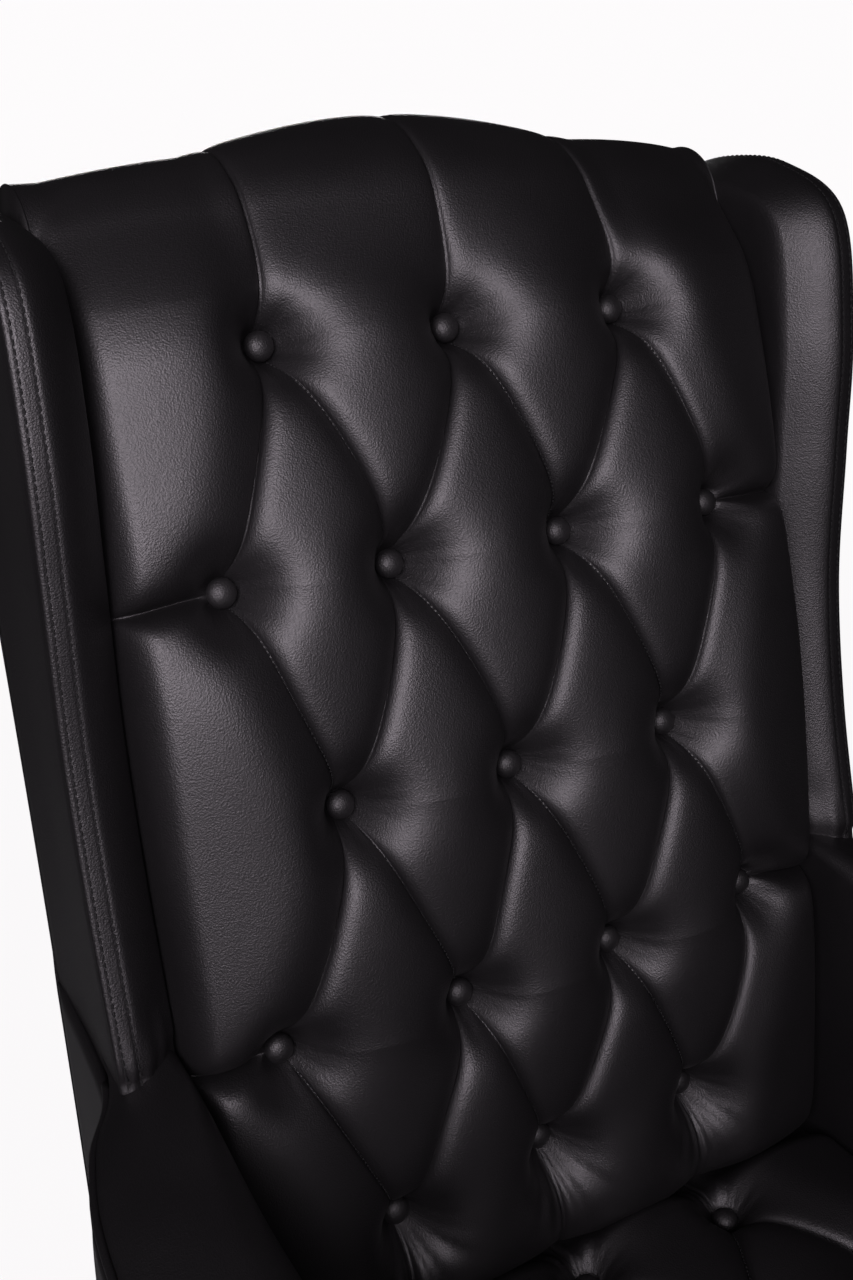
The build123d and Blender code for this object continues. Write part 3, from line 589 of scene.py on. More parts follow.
def seat_full(along):
    """Height of the seat's pillows along its length, from under the back to the front border."""
    tail = smoothstep(along, 0.004, 0.045)
    front = smoothstep(along, seat_roll_start() - 0.02, seat_roll_start() + 0.10)
    full = seat_tail_fullness + (seat_fullness - seat_tail_fullness) * tail
    return full - (seat_fullness - seat_front_fullness) * front * tail


def seat_crease(along):
    tail = smoothstep(along, 0.0, 0.04)
    front = smoothstep(along, seat_roll_start(), seat_roll_start() + 0.08)
    return seat_tail_crease + seat_crease_depth * tail * (1 - 0.5 * front)


def no_hump(along):
    return 0.0


def back_skirt(along):
    """How deep the cover's underside lies behind its line, less where it turns over the crest."""
    over = smoothstep(along, crest_start - 0.03, crest_start + 0.03)
    return back_skirt_depth + (crest_skirt_depth - back_skirt_depth) * over


def seat_skirt(along):
    over = smoothstep(along, seat_roll_start() - 0.03, seat_roll_start() + 0.03)
    return seat_skirt_depth + (seat_roll_skirt_depth - seat_skirt_depth) * over


back_tufting = Tufting(
    line=back_line, rows=back_rows, half_width=half_back, fullness=back_full, crease=back_crease,
    dome=back_dome, hump=back_hump, side_slope=back_side_slope, drift=back_button_drift, skirt=back_skirt
)
seat_tufting = Tufting(
    line=seat_line, rows=seat_rows, half_width=half_seat, fullness=seat_full, crease=seat_crease,
    dome=seat_dome, hump=no_hump, side_slope=seat_side_slope, drift={}, skirt=seat_skirt
)


def covered_buttons(name, tufting):
    """Domed leather buttons, one mesh for the whole cushion."""
    tilts = np.linspace(-0.5, pi / 2, button_rings)
    radii, heights = button_radius * np.cos(tilts[:-1]), button_height * np.sin(tilts)
    turns = np.arange(button_sides) * 2 * pi / button_sides
    side = np.array([1.0, 0, 0])
    verts, faces = [], []
    for (bx, row), (dx, dalong) in zip(tufting.buttons, tufting.drifts):
        point, direction = tufting.line(np.array([row + dalong / 1000]))
        normal = np.array([0, *direction[0]])
        base = np.array([bx + dx / 1000, *point[0]]) - normal * (button_sink - button_lift)
        other = np.cross(normal, side)
        first = len(verts)
        for radius, height in zip(radii, heights):
            centre = base + normal * height
            verts += [centre + (side * cos(turn) + other * sin(turn)) * radius for turn in turns]
        low = len(verts)
        top = low - button_sides
        verts += [base + normal * heights[0], base + normal * heights[-1]]
        for step in range(button_sides):
            after = (step + 1) % button_sides
            for level in range(first, top, button_sides):
                a, b = level + step, level + after
                faces.append((a, b, b + button_sides, a + button_sides))
            faces.append((first + after, first + step, low))
            faces.append((top + step, top + after, low + 1))
    mesh = bpy.data.meshes.new(name)
    mesh.from_pydata([tuple(vert) for vert in verts], [], faces)
    mesh.shade_smooth()
    return new_piece(name, mesh, button_leather)


# Materials


class NodeTree:
    """Short ways to add nodes to a tree and to link them."""

    def __init__(self, tree):
        self.nodes = tree.nodes
        self.links = tree.links

    def fill(self, node, **values):
        """Set a node's inputs and properties by name, or link an input where a socket is given."""
        for key, value in values.items():
            name = key.replace("_", " ")
            if name not in node.inputs:
                setattr(node, key, value)
            elif isinstance(value, bpy.types.NodeSocket):
                self.links.new(value, node.inputs[name])
            else:
                node.inputs[name].default_value = value
        return node

    def add(self, kind, **values):
        return self.fill(self.nodes.new("ShaderNode" + kind), **values)

    def math(self, operation, *values):
        """Result of an operation on sockets and plain numbers."""
        node = self.add("Math", operation=operation)
        for socket, value in zip(node.inputs, values):
            if isinstance(value, bpy.types.NodeSocket):
                self.links.new(value, socket)
            else:
                socket.default_value = value
        return node.outputs[0]

    def eased(self, value, low, high):
        """Smooth step of a value from 0 at one place to 1 at another."""
        step = self.add("MapRange", interpolation_type="SMOOTHSTEP", Value=value, From_Min=low, From_Max=high)
        return step.outputs["Result"]


class Finish(NodeTree):
    """A material in the making, whose textures lie on the piece's Object coordinates."""

    def __init__(self, name):
        self.material = bpy.data.materials.new(name)
        self.material.use_nodes = True
        super().__init__(self.material.node_tree)
        self.shader = self.nodes["Principled BSDF"]
        self.where = self.add("TexCoord").outputs["Object"]

    def set(self, **values):
        self.fill(self.shader, **values)

    def texture(self, kind, **values):
        """Socket of a texture, on Object coordinates unless it is given a vector."""
        node = self.add(kind, **{"Vector": self.where, **values})
        return node.outputs["Distance" if kind == "TexVoronoi" else "Fac"]

    def tone(self, factor, first, second):
        """Base colour from one plain colour to another."""
        mix = self.add("Mix", data_type="RGBA")
        self.links.new(factor, mix.inputs["Factor"])
        mix.inputs[6].default_value = (*first, 1)
        mix.inputs[7].default_value = (*second, 1)
        self.set(Base_Color=mix.outputs[2])

    def gloss(self, factor, low, high):
        """Roughness from low to high."""
        self.set(Roughness=self.add("MapRange", Value=factor, To_Min=low, To_Max=high).outputs["Result"])

    def bump(self, height, strength, distance, **under):
        """Bump by a height, which may lie on the normals of another bump."""
        bump = self.add("Bump", Strength=strength, Distance=distance, Height=height, **under)
        self.set(Normal=bump.outputs["Normal"])
        return bump.outputs["Normal"]


def black_leather(name, roughness, gathers):
    """Black leather: fine pebble, slight changes of gloss, and stretch marks that spread from the buttons."""
    finish = Finish(name)
    pebble = finish.texture("TexVoronoi", Scale=900.0)
    crease = finish.texture("TexNoise", Scale=520.0, Detail=3.0, Roughness=0.65, Distortion=0.8)
    cloud = finish.texture("TexNoise", Scale=11.0, Detail=3.0, Roughness=0.55)
    grain = finish.bump(finish.math("ADD", pebble, crease), 0.5, 0.00035)
    if gathers:
        gathered = finish.add("Attribute", attribute_name="gathered").outputs["Fac"]
        spokes = finish.add("Attribute", attribute_name="from_button").outputs["Vector"]
        wrinkle = finish.texture(
            "TexNoise", Vector=spokes, Scale=4.5, Detail=4.0, Roughness=0.6, Distortion=0.5
        )
        crinkle = finish.texture("TexNoise", Scale=230.0, Detail=4.0, Roughness=0.62, Distortion=1.5)
        marks = finish.math("MULTIPLY_ADD", crinkle, 0.5, wrinkle)
        finish.bump(finish.math("MULTIPLY", marks, gathered), 0.7, 0.0013, Normal=grain)
    finish.tone(cloud, (0.0022, 0.0019, 0.0023), (0.0038, 0.0033, 0.0038))
    finish.gloss(cloud, roughness - 0.04, roughness + 0.06)
    finish.set(Specular_IOR_Level=0.5, Specular_Tint=(1.0, 0.93, 0.98, 1))
    return finish.material


def sewing_thread(name):
    finish = Finish(name)
    twist = finish.texture("TexWave", Scale=700.0, Distortion=0.5)
    finish.bump(twist, 0.5, 0.0001)
    finish.tone(twist, (0.004, 0.0035, 0.004), (0.012, 0.011, 0.012))
    finish.set(Roughness=0.85, Specular_IOR_Level=0.15)
    return finish.material


def timber(name, dark, light, roughness, scale, coat):
    """Wood with long grain, from dark to light."""
    finish = Finish(name)
    stretched = finish.add("Mapping", Vector=finish.where, Scale=scale).outputs["Vector"]
    grain = finish.texture(
        "TexNoise", Vector=stretched, Scale=9.0, Detail=8.0, Roughness=0.65, Distortion=0.7
    )
    finish.tone(grain, dark, light)
    finish.bump(grain, 0.18, 0.0004)
    finish.set(Roughness=roughness, Coat_Weight=coat)
    return finish.material


def woven(name, dark, light, threads):
    """Plain weave of a given number of threads to the metre."""
    finish = Finish(name)
    bands = {"Scale": threads / 20, "Distortion": 0.4}
    warp, weft = [finish.texture("TexWave", bands_direction=direction, **bands) for direction in ("X", "Z")]
    weave = finish.math("MULTIPLY", warp, weft)
    finish.tone(weave, dark, light)
    finish.bump(weave, 0.6, 0.0006)
    finish.set(Roughness=0.9)
    return finish.material


def foam_filling(name):
    finish = Finish(name)
    cells = finish.texture("TexVoronoi", Scale=500.0)
    finish.tone(cells, (0.62, 0.58, 0.48), (0.80, 0.77, 0.68))
    finish.bump(cells, 0.5, 0.0005)
    finish.set(Roughness=0.95)
    return finish.material


def drawn_steel(name, tone, roughness):
    finish = Finish(name)
    streak = finish.texture("TexNoise", Scale=300.0, Detail=4.0)
    finish.tone(streak, tone, [min(1, part * 1.25) for part in tone])
    finish.gloss(streak, roughness - 0.08, roughness + 0.08)
    finish.set(Metallic=1.0)
    return finish.material


leather = black_leather("black_leather", 0.48, False)
tufted_leather = black_leather("tufted_leather", 0.49, True)
button_leather = black_leather("button_leather", 0.54, False)
thread = sewing_thread("black_thread")
polished_wood = timber("polished_wood", (0.022, 0.008, 0.005), (0.085, 0.030, 0.016), 0.26, (6, 6, 0.7), 0.5)
beech = timber("beech", (0.50, 0.33, 0.19), (0.66, 0.47, 0.30), 0.6, (5, 1, 1), 0.0)
hessian = woven("hessian", (0.30, 0.21, 0.12), (0.55, 0.43, 0.27), 500)
webbing = woven("jute_webbing", (0.16, 0.13, 0.10), (0.36, 0.31, 0.25), 700)
twine = woven("waxed_twine", (0.55, 0.48, 0.36), (0.78, 0.72, 0.58), 1600)
dust_cloth = woven("dust_cloth", (0.012, 0.012, 0.012), (0.035, 0.035, 0.035), 1200)
foam = foam_filling("foam")
spring_steel = drawn_steel("spring_steel", (0.32, 0.33, 0.35), 0.38)
bright_steel = drawn_steel("bright_steel", (0.52, 0.52, 0.53), 0.28)


# What shows of the frame and the inside, by the names of the nodes less their sides
finish_names = (
    (beech, (
        "back_post", "crest_rail", "lower_back_rail", "front_seat_rail", "side_seat_rail", "back_seat_rail",
        "corner_blocks", "wing_board", "arm_rail", "arm_post",
    )),
    (hessian, ("back_hessian", "seat_hessian")),
    (webbing, ("back_webbing",)),
    (twine, ("back_twines", "seat_twines")),
    (foam, ("back_filling", "seat_filling")),
    (spring_steel, ("seat_springs",)),
    (bright_steel, ("spring_clips", "hanger_bolts", "leg_glides")),
    (dust_cloth, ("dust_cover",)),
    (polished_wood, ("front_leg", "rear_leg")),
)
finishes = {name: finish for finish, names in finish_names for name in names}
for node_name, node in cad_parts.items():
    node.data.materials.clear()
    whole_name = node_name.removesuffix("_left").removesuffix("_right")
    node.data.materials.append(finishes.get(whole_name, leather))


def settle(piece, *nodes, slot="leather", fill=None):
    """Fix a finished piece to the chair, in place of the nodes it stands for."""
    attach(piece, "root")
    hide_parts(*nodes)


# Inside back and seat

seat_start = -0.045
seat_end = seat_roll_start() + (pi / 2 + seat_slope) * seat_roll + seat_drop
crest_end = crest_start + pi * crest_radius
settle(tufted_cushion("inside_back_cover", back_tufting, back_lift, crest_end), "inside_back", fill=0.8)
settle(tufted_cushion("seat_cushion_cover", seat_tufting, seat_start, seat_end), "seat_cover", fill=0.8)
settle(covered_buttons("back_covered_buttons", back_tufting), "back_buttons", slot="buttons")
settle(covered_buttons("seat_covered_buttons", seat_tufting), "seat_buttons", slot="buttons")


# Stitches, each row as pitch, length and thickness

pleat_stitch = (0.0034, 0.0021, 0.0012)
wing_stitch = (0.0050, 0.0038, 0.0012)
thread_sink = 0.0002
sewn_shares = (0.06, 0.92)


def stitch_group(material):
    """Nodes that lay short stitches along a curve."""
    group = bpy.data.node_groups.new("stitch_row", "GeometryNodeTree")
    group.interface.new_socket("Geometry", in_out="INPUT", socket_type="NodeSocketGeometry")
    for name, value in zip(("Pitch", "Length", "Thickness"), wing_stitch):
        socket = group.interface.new_socket(name, in_out="INPUT", socket_type="NodeSocketFloat")
        socket.default_value = value
    group.interface.new_socket("Geometry", in_out="OUTPUT", socket_type="NodeSocketGeometry")
    kinds = (
        "NodeGroupInput", "NodeGroupOutput", "GeometryNodeCurveToPoints", "GeometryNodeMeshUVSphere",
        "ShaderNodeCombineXYZ", "GeometryNodeInstanceOnPoints", "GeometryNodeRealizeInstances",
        "GeometryNodeSetMaterial",
    )
    given, made, places, bead, size, put, real, colour = [group.nodes.new(kind) for kind in kinds]
    places.mode = "LENGTH"
    for name, value in (("Segments", 8), ("Rings", 5), ("Radius", 0.5)):
        bead.inputs[name].default_value = value
    colour.inputs["Material"].default_value = material
    for source, output, target, wanted in (
        (given, "Geometry", places, "Curve"), (given, "Pitch", places, "Length"),
        (given, "Thickness", size, "X"), (given, "Thickness", size, "Y"), (given, "Length", size, "Z"),
        (places, "Points", put, "Points"), (places, "Rotation", put, "Rotation"),
        (bead, "Mesh", put, "Instance"), (size, "Vector", put, "Scale"),
        (put, "Instances", real, "Geometry"), (real, "Geometry", colour, "Geometry"),
        (colour, "Geometry", made, "Geometry"),
    ):
        group.links.new(source.outputs[output], target.inputs[wanted])
    return group


stitches = stitch_group(thread)


def stitch_rows(name, paths, pitch, length, thickness):
    """Rows of stitches along paths, as one plain mesh."""
    curve = bpy.data.curves.new(name + "_path", "CURVE")
    curve.dimensions = "3D"
    for path in paths:
        spline = curve.splines.new("POLY")
        spline.points.add(len(path) - 1)
        for point, place in zip(spline.points, path):
            point.co = (*place, 1)
    holder = in_scene(name + "_path", curve)
    modifier = holder.modifiers.new("stitches", "NODES")
    modifier.node_group = stitches
    wanted = {"Pitch": pitch, "Length": length, "Thickness": thickness}
    for item in stitches.interface.items_tree:
        if item.in_out == "INPUT" and item.name in wanted:
            modifier[item.identifier] = wanted[item.name]
    evaluated = holder.evaluated_get(bpy.context.evaluated_depsgraph_get())
    mesh = bpy.data.meshes.new_from_object(evaluated)
    bpy.data.objects.remove(holder)
    mesh.name = name
    piece = in_scene(name, mesh)
    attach(piece, "root")


def pleat_stitch_path(tufting, strip, low_row, high_row):
    """Line in a sewn pleat, from a button down to the next on the sitter's left."""
    path = []
    for share in np.linspace(*sewn_shares, 60):
        along = high_row + (low_row - high_row) * share
        x = np.array([(strip + share) * strip_pitch])
        height = tufting.crease_height(along, x) - thread_sink + crest_rise(x, tufting.hump(along))
        new_x, new_along = tufting.drifted(x, along)
        point, direction = tufting.line(new_along)
        path.append((new_x[0], *(point[0] + direction[0] * height[0])))
    return path


def pleat_stitches(name, tufting):
    """Stitches in the sewn pleats, which run down to the sitter's left."""
    paths = []
    for index, (low_row, high_row) in enumerate(zip(tufting.rows, tufting.rows[1:])):
        strips = even_strips if index % 2 else odd_strips[:-1]
        paths += [pleat_stitch_path(tufting, strip, low_row, high_row) for strip in strips]
    stitch_rows(name, paths, *pleat_stitch)


pleat_stitches("back_pleat_stitches", back_tufting)
pleat_stitches("seat_pleat_stitches", seat_tufting)


# Wings

wing_shares = [(0, 0), (0.06, 0.2), (0.102, 0.4), (0.117, 0.6), (0.131, 0.78), (0.178, 0.945), (0.3, 1)]
wing_shoulder = 0.030
wing_shoulder_depth = 0.027
wing_outer_fall = 0.0012
wing_stitch_gaps = (0.0042, 0.0125)
wing_groove_depth = 0.0003
wing_groove_width = 0.0011
wing_seam_round = 0.003
wing_seam_inset = 0.0025
wing_foot_sink = 0.008
wing_foot_tuck = 0.0045
wing_dimple_depth = 0.0020
wing_pucker_depth = 0.0007
panel_edge_round = 0.003
panel_edge_rim = 0.0004
wing_foot_y = back_place(arm_height - seat_height, 0)[0] - wing_reach
wing_spine_top = wing_top - 0.07
wing_least_depth = 0.03
wing_stations = 120
wing_panel_stations = 100


def wing_edge(count, foot_sink):
    """Front and top edge of a wing in side view, as Y and Z, from a little below the arm's top."""
    rise = wing_top - arm_height
    points = [(wing_foot_y + rise * forward, arm_height + rise * up) for forward, up in wing_shares]
    rear = (rear_line(wing_top - wing_fall, outside_padding), wing_top - wing_fall)
    middle = ((points[-1][0] + rear[0]) / 2, (points[-1][1] + rear[1]) / 2 + wing_fall / 2)
    path = smooth_path(points + [middle, rear], count)
    below = [(wing_foot_y - sink * 0.3, arm_height - sink) for sink in np.linspace(foot_sink, 0, 7)[:-1]]
    return np.vstack([below, path])


def wing_inward(edge):
    """Direction from a wing's edge towards its rear, and how far it is."""
    height = min(edge[1], wing_spine_top)
    spine = np.array([rear_line(height, outside_padding), height])
    depth = max(np.linalg.norm(spine - edge), 1e-6)
    return (spine - edge) / depth, max(depth, wing_least_depth)


def wing_crown(x):
    """Depth of a wing's front band below its highest line, at an X place."""
    top = wing_inner + wing_shoulder
    if x < top:
        return wing_shoulder_depth * ((top - x) / wing_shoulder) ** 1.5
    from_seam = wing_outer - x
    groove = sum(exp(-((from_seam - gap) / wing_groove_width) ** 2) for gap in wing_stitch_gaps)
    return wing_outer_fall * ((x - top) / (wing_outer - top)) ** 2 + wing_groove_depth * groove


def foot_puckers(x, height):
    """Depth of the small gathers where a wing's cover is tacked down above the arm."""
    above = height - arm_height
    dimple = exp(-((above - 0.030) / 0.014) ** 2 - ((x - wing_inner - 0.014) / 0.010) ** 2)
    gathers = exp(-(max(above, 0) / 0.026) ** 2) * sin(520 * x + 0.8 * sin(90 * above))
    return wing_dimple_depth * dimple + wing_pucker_depth * gathers


def wing_ring(edge, side_x):
    """Section of a wing's padding where its edge passes, from the inner face round to the outer seam."""
    inward, depth = wing_inward(edge)
    # Inner face
    section = [(wing_inner, d) for d in np.linspace(depth, wing_shoulder_depth + 0.006, 12)]
    section.append((wing_inner + 0.0006, wing_shoulder_depth + 0.0022))
    # Shoulder and stitched band
    low, high = wing_inner + wing_shoulder, wing_outer - wing_seam_round
    section += [(x, wing_crown(x)) for x in np.linspace(wing_inner + 0.0018, low, 22)]
    section += [(x, wing_crown(x)) for x in np.linspace(low, high, 30)[1:]]
    # Seam, and the face that lies behind the outside panel
    edge_drop = wing_crown(high)
    for turn in np.linspace(0, pi * 0.75, 8)[1:]:
        x = high + wing_seam_round * sin(turn)
        section.append((x, edge_drop + wing_seam_round * (1 - cos(turn))))
    section.append((wing_outer - 0.006, edge_drop + 2 * wing_seam_round))
    section.append((post_outer, edge_drop + 0.014))
    section.append((wing_inner + 0.008, depth))
    tuck = wing_foot_tuck * (1 - smoothstep(edge[1], arm_height - 0.003, arm_height + 0.010))
    ring = []
    middle = (wing_inner + wing_outer) / 2
    for x, d in section:
        y, z = edge + inward * (d + tuck)
        if d < wing_shoulder_depth:
            y, z = edge + inward * (d + tuck + foot_puckers(x, z))
        ring.append((side_x * (x + (middle - x) * tuck * 6), y, z))
    return ring


def wing_padding(name, side_x):
    rings = [wing_ring(edge, side_x) for edge in wing_edge(wing_stations, wing_foot_sink)]
    return shell_through(name, rings, leather)


def outside_wing(name, side_x):
    """Leather panel outside a wing, sewn to the padding just behind its front edge."""
    rings = []
    start = wing_crown(wing_outer) + 1.6 * wing_seam_round
    flat_x, seam_x = board_outer + panel_thickness, wing_outer - wing_seam_inset
    for edge in wing_edge(wing_panel_stations, arm_height - arm_rail_top):
        inward, depth = wing_inward(edge)
        section = []
        for share in np.linspace(0, 1, 16):
            d = start + (depth - start) * share
            full = flat_x + (seam_x - flat_x) * (1 - smoothstep(share, 0, 0.7))
            risen = arch((d - start + panel_edge_rim) / panel_edge_round)
            section.append((board_outer + (full - board_outer) * risen, d))
        section.append((board_outer, depth))
        section.append((board_outer, start + 0.002))
        rings.append([(side_x * x, *(edge + inward * d)) for x, d in section])
    return shell_through(name, rings, leather)


def wing_stitch_path(side_x, from_seam):
    """Line on the wing's front band at a distance from its outer seam."""
    path = []
    x = wing_outer - from_seam
    for edge in wing_edge(wing_stations, 0.0):
        y, z = edge + wing_inward(edge)[0] * (wing_crown(x) - thread_sink)
        path.append((side_x * x, y, z))
    return path


for side_name, side_x in both_sides:
    settle(wing_padding("wing_pad_" + side_name, side_x), "wing_padding_" + side_name, fill=0.9)
    settle(outside_wing("wing_panel_" + side_name, side_x), "outside_wing_" + side_name)
    rows = [wing_stitch_path(side_x, gap) for gap in wing_stitch_gaps]
    stitch_rows("wing_stitches_" + side_name, rows, *wing_stitch)


# Arms

arm_place_shares = (0, 0.19, 0.28, 0.4, 0.66, 1)
arm_flare_shares = (0, 0.15, 0.6, 0.88, 0.97, 1)
arm_corner = 0.010
arm_corner_growth = 0.024
arm_unevenness = 0.0007
arm_inner_bulge = 0.004
arm_corner_share = 0.55
arm_swell = 0.009
arm_bow_height = 0.74
arm_steps = 14
arm_stations = 70
arm_panel_stations = 60
front_plane = junction + seat_front()
arm_along = arm_height - seat_height
arm_rear = back_place(arm_along, back_depth - back_taper * (arm_along / crest_start) ** 2)[0]
facing_thickness = 0.006
facing_border = ((0.0, 0.0), (0.0, 0.003), (0.0008, 0.0052), (0.003, 0.0068), (0.008, 0.0078), (0.03, 0.0085))
piping_radius = 0.0027
piping_start = 0.19
piping_sides = 14
arm_flare_path = smooth_path(list(zip(arm_place_shares, arm_flare_shares)), 200)


def arm_y(share):
    return arm_rear + (front_plane - arm_rear) * share


def arm_outer(share):
    """X of the arm's outer edge at a share of the way to the front."""
    return frame_outer + arm_flare * np.interp(share, arm_flare_path[:, 0], arm_flare_path[:, 1])


def arm_ring(share, side_x):
    """Section of the arm's padding, square to the chair's front."""
    y, outer, top = arm_y(share), arm_outer(share), arm_height - arm_fall * share
    opened = smoothstep(wing_foot_y - y, -0.01, 0.13)
    radius = min(arm_corner + arm_corner_growth * opened, (outer - arm_inner) * arm_corner_share)
    section = []
    for up in np.linspace(0, 1, arm_steps)[:-1]:
        z = rail_top + (top - radius - rail_top) * up
        section.append((arm_inner - arm_inner_bulge * opened * sin(pi * up) ** 0.7, z))
    for turn in np.linspace(0, pi / 2, arm_steps):
        section.append((arm_inner + radius * (1 - cos(turn)), top - radius * (1 - sin(turn))))
    low, high = arm_inner + radius, outer
    for part in np.linspace(0, 1, arm_steps)[1:]:
        wave = sin(38 * y) + sin(57 * y + 9 * part)
        uneven = arm_unevenness * wave * opened * sin(pi * min(part * 1.05, 1))
        section.append((low + (high - low) * part, top - arm_outer_drop * part ** 2 + uneven))
    section.append((outer - 0.001, top - arm_outer_drop - 0.0015))
    section.append((outer - 0.006, arm_rail_top))
    section.append((post_outer, arm_rail_top))
    section.append((post_outer, rail_top))
    return [(side_x * x, y, z) for x, z in section]


def arm_padding(name, side_x):
    wing_front = back_place(arm_along, 0.056)[0]
    first = (wing_front - arm_rear) / (front_plane - arm_rear)
    rings = [arm_ring(share, side_x) for share in np.linspace(first, 1, arm_stations)]
    return shell_through(name, rings, leather)


def outside_arm_curve(share):
    """Outer line of the outside arm panel in front view, from the seat rail up."""
    low = np.array([frame_outer + panel_thickness, leg_height])
    high = np.array([arm_outer(share) + panel_thickness, arm_rail_top - fit_gap])
    swell = arm_swell * smoothstep(share, 0.0, 0.3)
    bow = low + (high - low) * arm_bow_height + np.array([swell, 0])
    return smooth_path([low, bow, high], 24).tolist()


def outside_arm(name, side_x):
    """Leather panel outside an arm, which ends on the chair's slanted rear line."""
    rings = []
    for share in np.linspace(0, 1, arm_panel_stations):
        slanted = max(0, 1 - share / 0.3)
        outline = outside_arm_curve(share)
        x, z = outline[-1]
        outline += [(x - panel_thickness, z), (frame_outer, leg_height)]
        drops = [(arm_rear - rear_line(z, outside_padding) + fit_gap) * slanted for x, z in outline]
        rings.append([(side_x * x, arm_y(share) - drop, z) for (x, z), drop in zip(outline, drops)])
    return shell_through(name, rings, leather)


def arm_piping(name, side_x):
    """Leather-covered cord along the outer edge of the arm's top."""
    places = []
    for share in np.linspace(piping_start, 1, arm_stations):
        places.append((side_x * (arm_outer(share) + 0.002), arm_y(share), arm_rail_top + piping_radius))
    path = np.array(places)
    along = np.gradient(path, axis=0)
    along /= np.linalg.norm(along, axis=1)[:, None]
    turns = np.arange(piping_sides) * 2 * pi / piping_sides
    rings = []
    for point, direction in zip(path, along):
        side = np.cross(direction, (0, 0, 1))
        side /= np.linalg.norm(side)
        up = np.cross(side, direction)
        rings.append(point + piping_radius * (np.cos(turns)[:, None] * side + np.sin(turns)[:, None] * up))
    return shell_through(name, rings, leather)


def arm_facing(name, side_x):
    """Padded leather front of the arm, with a rounded border."""
    ring = [(x, z) for x, y, z in arm_ring(1.0, 1)]
    wall_top = ring[arm_steps - 2][1]
    outline = smooth_path([(arm_inner, leg_height), (arm_inner, 0.45), (arm_inner, wall_top)], 24).tolist()
    outline += ring[arm_steps - 1:3 * arm_steps - 1] + outside_arm_curve(1.0)[::-1]
    outline = np.array(outline)
    centre = outline.mean(axis=0)
    reach = np.linalg.norm(outline - centre, axis=1)
    rings = []
    for inset, depth in facing_border:
        shrunk = centre + (outline - centre) * (1 - inset / reach)[:, None]
        rings.append([(side_x * x, front_plane - depth, z) for x, z in shrunk])
    return shell_through(name, rings, leather)


for side_name, side_x in both_sides:
    settle(arm_padding("arm_pad_" + side_name, side_x), "arm_padding_" + side_name, fill=0.9)
    settle(outside_arm("arm_panel_" + side_name, side_x), "outside_arm_" + side_name)
    settle(arm_piping("arm_welt_" + side_name, side_x), "arm_piping_" + side_name, slot="piping")
    settle(arm_facing("arm_front_" + side_name, side_x), "arm_facing_" + side_name)


# Back panel and front border

panel_round = 0.006
panel_rim = 0.0006
panel_swell = 0.0035
panel_narrowing = 0.012
ear_overlap = 0.004
ear_top = wing_top - wing_fall
border_round = 0.007
border_rim = 0.0004
border_swell = 0.0045


def crowned(share):
    """Swell of a stretched panel, from 0 at its edges to 1 in its middle."""
    return 1 - (2 * share - 1) ** 2


def back_panel_section(z, left, right, half, edge):
    """Section of the rear panel at a height, between two X places, less where its edge is near."""
    inner, outer = rear_line(z, outside_padding), rear_line(z, 0)
    swell = panel_swell * crowned((z - leg_height) / (ear_top - leg_height))
    section = [(left, inner, z), (right, inner, z)]
    for share in np.linspace(1, 0, 44):
        x = left + (right - left) * (0.5 - 0.5 * cos(pi * share))
        near = min(x - left, right - x)
        thick = (outer - inner) * arch((near + panel_rim) / panel_round) * edge
        section.append((x, inner + thick + swell * crowned((x + half) / (2 * half)) * edge, z))
    return section


def back_panel(name):
    """Leather panel over the whole rear, with an ear up behind each wing."""
    top = back_place(crest_start, 2 * crest_radius)[1] - fit_gap
    ear_low = top - ear_overlap
    wide, narrow = frame_outer + panel_thickness, board_outer + panel_thickness
    spans = [(-1, 1, leg_height, top, 60), (-1, 0, ear_low, ear_top, 10), (0, 1, ear_low, ear_top, 10)]
    shells = []
    for first, last, low, high, count in spans:
        tall = high - low
        rings = []
        for up in [0, 0.002, *np.linspace(0.006, tall - 0.006, count), tall - 0.002, tall]:
            z = low + up
            beside_arms = 1 - smoothstep(z, arm_rail_top, arm_rail_top + panel_narrowing)
            half = narrow + (wide - narrow) * beside_arms
            left, right = (-half if first == -1 else wing_inner), (half if last == 1 else -wing_inner)
            edge = arch((min(up, tall - up) + panel_rim) / panel_round)
            rings.append(back_panel_section(z, left, right, half, edge))
        shells.append(shell_through(name + "_part", rings, leather))
    return joined(name, shells)


def front_border(name):
    """Padded strip below the seat's roll, across the front between the arms."""
    top = seat_line(np.array([seat_end]))[0][0, 1]
    rings = []
    for share in 0.5 - 0.5 * np.cos(pi * np.linspace(0, 1, 26)):
        z = leg_height + (top - leg_height) * share
        edge = arch((min(z - leg_height, top - z) + border_rim) / border_round)
        ring = [(-half_seat, front_plane, z), (half_seat, front_plane, z)]
        for across in np.linspace(1, 0, 40):
            x = -half_seat + 2 * half_seat * (0.5 - 0.5 * cos(pi * across))
            near = half_seat - abs(x)
            thick = facing_thickness * edge * arch((near + border_rim) / panel_round)
            full = border_swell * crowned(share) * (1 - (x / half_seat) ** 8)
            ring.append((x, front_plane - thick - full, z))
        rings.append(ring)
    return shell_through(name, rings, leather)


settle(back_panel("rear_panel"), "outside_back", fill=0.8)
settle(front_border("seat_border"), "front_border", fill=0.8)


# Legs

